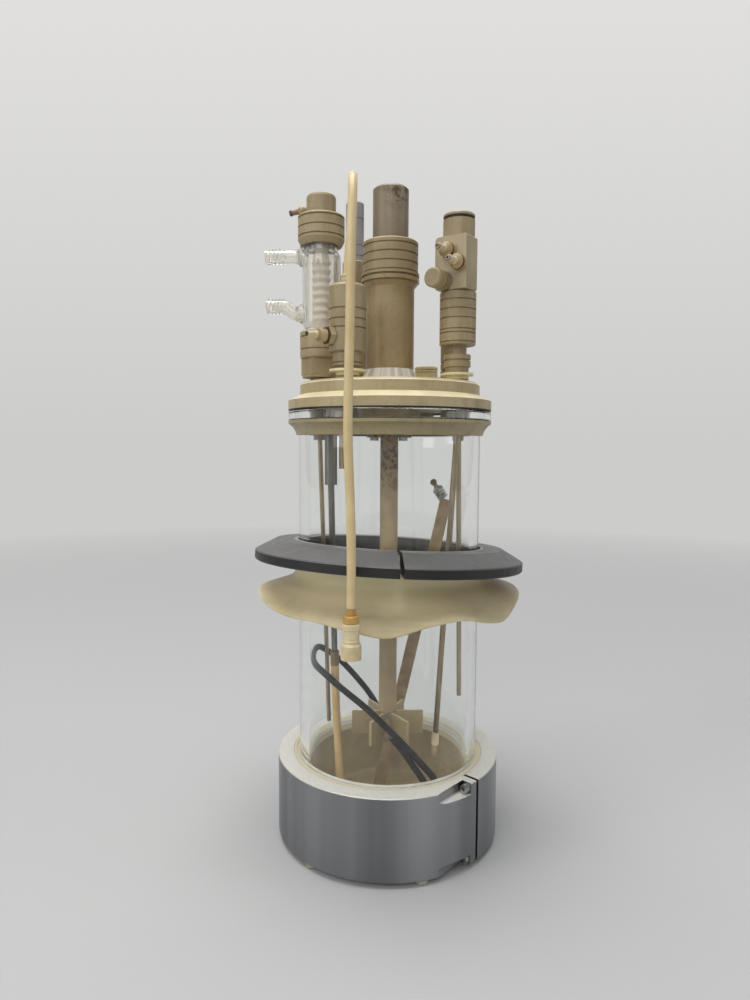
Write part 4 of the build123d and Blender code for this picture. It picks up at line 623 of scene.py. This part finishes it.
# ---------------------------------------------------------------- glass welds
WELD_RADIUS, WELD_THICKNESS = 4.5 * MM, 0.7 * MM
UPPER_WELD, LOWER_WELD = millimetres((-47.6, -9.5, 318.0), (-47.6, -9.5, 288.2))


def make_welds():
    """The rings of melted glass where two hose ends meet the jacket: one is modelled, the other copied."""
    deselect_all()
    bpy.ops.mesh.primitive_torus_add(
        major_segments=48, minor_segments=12, major_radius=WELD_RADIUS, minor_radius=WELD_THICKNESS,
        location=UPPER_WELD, rotation=(0, math.radians(90), 0),
    )
    first = bpy.context.object
    first.name = "upper_hose_weld"
    bpy.ops.object.shade_smooth()
    bpy.ops.object.transform_apply(location=True, rotation=True, scale=True)
    second = first.copy()
    second.data = first.data.copy()
    second.name = "lower_hose_weld"
    bpy.context.collection.objects.link(second)
    second.location = LOWER_WELD - UPPER_WELD
    deselect_all()
    second.select_set(True)
    bpy.context.view_layer.objects.active = second
    bpy.ops.object.transform_apply(location=True, rotation=True, scale=True)
    return first, second


for weld in make_welds():
    dress(weld, "condenser_glass")


# ---------------------------------------------------------------- drip skirt
# the rim's heights in mm, at even steps round the axis from +X
rim_heights = (
    138.5, 138.0, 135.5, 133.5, 134.5, 136.5, 135.0, 132.5, 133.5, 136.0, 136.3, 137.2,
    139.0, 139.6, 135.9, 134.0, 134.2, 131.1, 128.4, 133.6, 135.6, 131.3, 129.4, 137.0,
)
# (radius, distance below the neck) in mm, from the neck out to the rim
skirt_profile = (
    (51.75, 0), (51.85, 2.2), (52.6, 4.4), (54.8, 6.6), (58.0, 8.6), (61.6, 10.3), (65.2, 11.7), (68.6, 13.0),
    (71.2, 14.3), (72.9, 15.7),
)
NECK_RADIUS, RIM_RADIUS = skirt_profile[0][0], skirt_profile[-1][0]
NECK_HEIGHT, RIM_DROP = 151.5, skirt_profile[-1][1]
RING_UNDERSIDE = 152.3
LEAN_SIDE, LEAN_BACK = math.radians(2.6), math.radians(3.7)
SAG_POWER = 1.6  # 1 would sag evenly from neck to rim; more leaves the sag to the outer part
MEAN_RIM = 138.0  # below this height the rim draws in as it sags
DRAW_IN = 0.3  # millimetres inward for each that the rim hangs below that height
SKIRT_WALL = 1.2 * MM


def rim_height(bearing):
    """The rim's height at a bearing, a smooth line through the stated heights."""
    count = len(rim_heights)
    place = bearing / math.tau * count
    number = math.floor(place)
    share = place - number
    a, b, c, d = (rim_heights[(number + n) % count] for n in (-1, 0, 1, 2))
    return b + share * (c - a + share * (2 * a - 5 * b + 4 * c - d + share * (3 * (b - c) + d - a))) / 2


def droop(place):
    """Moves a point of the even collar: the neck follows the tilted ring, the rest sags to the rim."""
    reach = math.hypot(place.x, place.y) / MM
    if reach < NECK_RADIUS + 0.01:
        place.z = RING_UNDERSIDE * MM - place.x * math.tan(LEAN_SIDE) - place.y * math.tan(LEAN_BACK)
        return
    share = max(0.0, (reach - NECK_RADIUS) / (RIM_RADIUS - NECK_RADIUS)) ** SAG_POWER
    low = rim_height(math.atan2(place.y, place.x) % math.tau)
    place.z -= share * (NECK_HEIGHT - RIM_DROP - low) * MM
    pull = 1 - DRAW_IN * share * max(0.0, MEAN_RIM - low) / reach
    place.x *= pull
    place.y *= pull


def make_drip_skirt():
    """A soft collar that hangs from the tilted ring and droops unevenly."""
    deselect_all()
    bpy.ops.mesh.primitive_circle_add(
        vertices=192, radius=NECK_RADIUS * MM, location=(0, 0, NECK_HEIGHT * MM)
    )
    skirt = bpy.context.object
    skirt.name = "wavy_skirt"
    bpy.ops.object.mode_set(mode="EDIT")
    bpy.ops.mesh.select_all(action="SELECT")
    for (near, above), (far, below) in zip(skirt_profile, skirt_profile[1:]):
        bpy.ops.mesh.extrude_region_move(TRANSFORM_OT_translate={"value": (0, 0, (above - below) * MM)})
        bpy.ops.transform.resize(value=(far / near, far / near, 1), center_override=(0, 0, 0))
    bpy.ops.object.mode_set(mode="OBJECT")
    bpy.ops.object.transform_apply(location=True, rotation=True, scale=True)
    for vertex in skirt.data.vertices:
        droop(vertex.co)
    wall = skirt.modifiers.new("wall", "SOLIDIFY")
    wall.thickness = SKIRT_WALL
    wall.offset = -1
    wall.use_even_offset = True
    rounding = skirt.modifiers.new("rounding", "SUBSURF")
    rounding.levels = rounding.render_levels = 1
    bpy.context.view_layer.objects.active = skirt
    skirt.select_set(True)
    for modifier in ("wall", "rounding"):
        bpy.ops.object.modifier_apply(modifier=modifier)
    bpy.ops.object.mode_set(mode="EDIT")
    bpy.ops.mesh.select_all(action="SELECT")
    bpy.ops.mesh.normals_make_consistent(inside=False)
    bpy.ops.object.mode_set(mode="OBJECT")
    bpy.ops.object.shade_smooth()
    return skirt


wavy_skirt = make_drip_skirt()
dress(wavy_skirt, "amber_silicone")
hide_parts("drip_skirt")


# ---------------------------------------------------------------- stage, light and camera
COVE_SIZE, COVE_HEIGHT, COVE_ROUNDING = 6, 4, 1.2  # metres
FLOOR_GAP = 0.2 * MM


def make_cove():
    """A pale floor that runs up into a wall behind."""
    deselect_all()
    bpy.ops.mesh.primitive_plane_add(size=COVE_SIZE, location=(0, 0, -FLOOR_GAP))
    cove = bpy.context.object
    cove.name = "cove"
    bpy.ops.object.mode_set(mode="EDIT")
    bpy.ops.mesh.select_all(action="DESELECT")
    bpy.ops.object.mode_set(mode="OBJECT")
    for edge in cove.data.edges:
        edge.select = all(cove.data.vertices[v].co.y > 0 for v in edge.vertices)
    bpy.ops.object.mode_set(mode="EDIT")
    bpy.ops.mesh.select_mode(type="EDGE")
    bpy.ops.mesh.extrude_region_move(TRANSFORM_OT_translate={"value": (0, 0, COVE_HEIGHT)})
    bpy.ops.object.mode_set(mode="OBJECT")
    for edge in cove.data.edges:
        corner = [cove.data.vertices[v].co for v in edge.vertices]
        edge.select = all(abs(co.y - COVE_SIZE / 2) < 0.01 and co.z < 0.1 for co in corner)
    bpy.ops.object.mode_set(mode="EDIT")
    bpy.ops.mesh.bevel(offset=COVE_ROUNDING, segments=24)
    bpy.ops.object.mode_set(mode="OBJECT")
    bpy.ops.object.shade_smooth()
    return cove


def cove_paint():
    """Pale matt paint; away from the reactor it shows an even wall tone, also through glass and in metal."""
    paint = Finish("cove_paint", Base_Color=tone(186, 186, 185), Roughness=0.9, Specular_IOR_Level=0.1)
    wall_tone = paint.between(paint.along("Z", 0.2, 2.2), tone(204, 204, 203), tone(224, 223, 221))
    away = paint.spread(paint.vectors("LENGTH", paint.place)["Value"], 0.35, 1.5)
    ray = paint.node("ShaderNodeLightPath").outputs
    seen = paint.larger(ray["Is Camera Ray"], ray["Is Transmission Ray"])
    seen = paint.larger(seen, ray["Is Glossy Ray"])
    paint.give_way(paint.times(away, seen), paint.node("ShaderNodeEmission", Color=wall_tone))
    return paint.material


cove = make_cove()
cove.data.materials.append(cove_paint())


def make_room():
    """A dim sky lights the reactor from all round; past the cove, a pale wall is seen in its place."""
    world = bpy.data.worlds.new("studio")
    bpy.context.scene.world = world
    world.use_nodes = True
    made, link = world.node_tree.nodes, world.node_tree.links.new
    ray = made.new("ShaderNodeLightPath").outputs
    sky = made["Background"]
    sky.inputs["Color"].default_value = (0.93, 0.96, 1.0, 1)
    strength = made.new("ShaderNodeMapRange")
    strength.inputs["To Min"].default_value = SKY_STRENGTH
    strength.inputs["To Max"].default_value = MIRRORED_SKY_STRENGTH
    link(ray["Is Glossy Ray"], strength.inputs["Value"])
    link(strength.outputs["Result"], sky.inputs["Strength"])
    wall = made.new("ShaderNodeBackground")
    wall.inputs["Color"].default_value = tone(210, 210, 208)
    seen = made.new("ShaderNodeMath")
    seen.operation = "MAXIMUM"
    link(ray["Is Camera Ray"], seen.inputs[0])
    link(ray["Is Transmission Ray"], seen.inputs[1])
    sight = made.new("ShaderNodeMixShader")
    for value, socket in zip((seen.outputs[0], sky.outputs[0], wall.outputs[0]), sight.inputs):
        link(value, socket)
    link(sight.outputs[0], made["World Output"].inputs["Surface"])


def softbox(name, at, aim, size, watts, colour=(1, 1, 1)):
    """A rectangular lamp that faces the point it is aimed at."""
    lamp = bpy.data.lights.new(name, "AREA")
    lamp.shape = "RECTANGLE"
    lamp.size, lamp.size_y = size
    lamp.energy = watts
    lamp.color = colour
    box = bpy.data.objects.new(name, lamp)
    box.location = at
    box.rotation_euler = (Vector(aim) - Vector(at)).to_track_quat("-Z", "Y").to_euler()
    bpy.context.collection.objects.link(box)


def place_camera():
    """The camera stands level with the head plate's ports and looks down a little."""
    lens = bpy.data.cameras.new("camera")
    lens.sensor_fit = "VERTICAL"
    lens.sensor_height = FILM_HEIGHT
    lens.lens = FOCAL_LENGTH
    lens.clip_start = 0.01
    camera = bpy.data.objects.new("camera", lens)
    bpy.context.collection.objects.link(camera)
    level = Vector((math.cos(YAW), -math.sin(YAW), 0))
    ahead = Vector((math.sin(YAW), math.cos(YAW), 0))
    forward = ahead * math.cos(PITCH) - Vector((0, 0, math.sin(PITCH)))
    right = level * math.cos(ROLL) + level.cross(forward) * math.sin(ROLL)
    turned = Matrix((right, right.cross(forward), -forward)).transposed()
    camera.matrix_world = Matrix.Translation(CAMERA_AT) @ turned.to_4x4()
    bpy.context.scene.camera = camera


SKY_STRENGTH, MIRRORED_SKY_STRENGTH = 0.30, 0.12
make_room()
softbox("top_light", (-0.2, 0.0, 1.9), (0, 0, 0.1), (1.6, 1.4), 30)
softbox("left_light", (-1.5, -0.8, 0.9), (0, 0, 0.2), (0.7, 1.5), 7, (1.0, 0.98, 0.95))
softbox("front_light", (-0.35, -1.5, 1.1), (0, 0, 0.2), (1.3, 0.8), 9)
softbox("right_light", (1.5, -0.2, 0.9), (0, 0, 0.2), (0.4, 1.5), 3, (0.95, 0.97, 1.0))

CAMERA_AT = (0, -0.3913, 0.2192)
PITCH, YAW, ROLL = (math.radians(angle) for angle in (4.59, -1.14, 0.29))  # down, to the right, clockwise
FILM_HEIGHT, FOCAL_LENGTH = 24.0, 16.841  # mm
place_camera()
bpy.context.scene.view_settings.view_transform = "Standard"
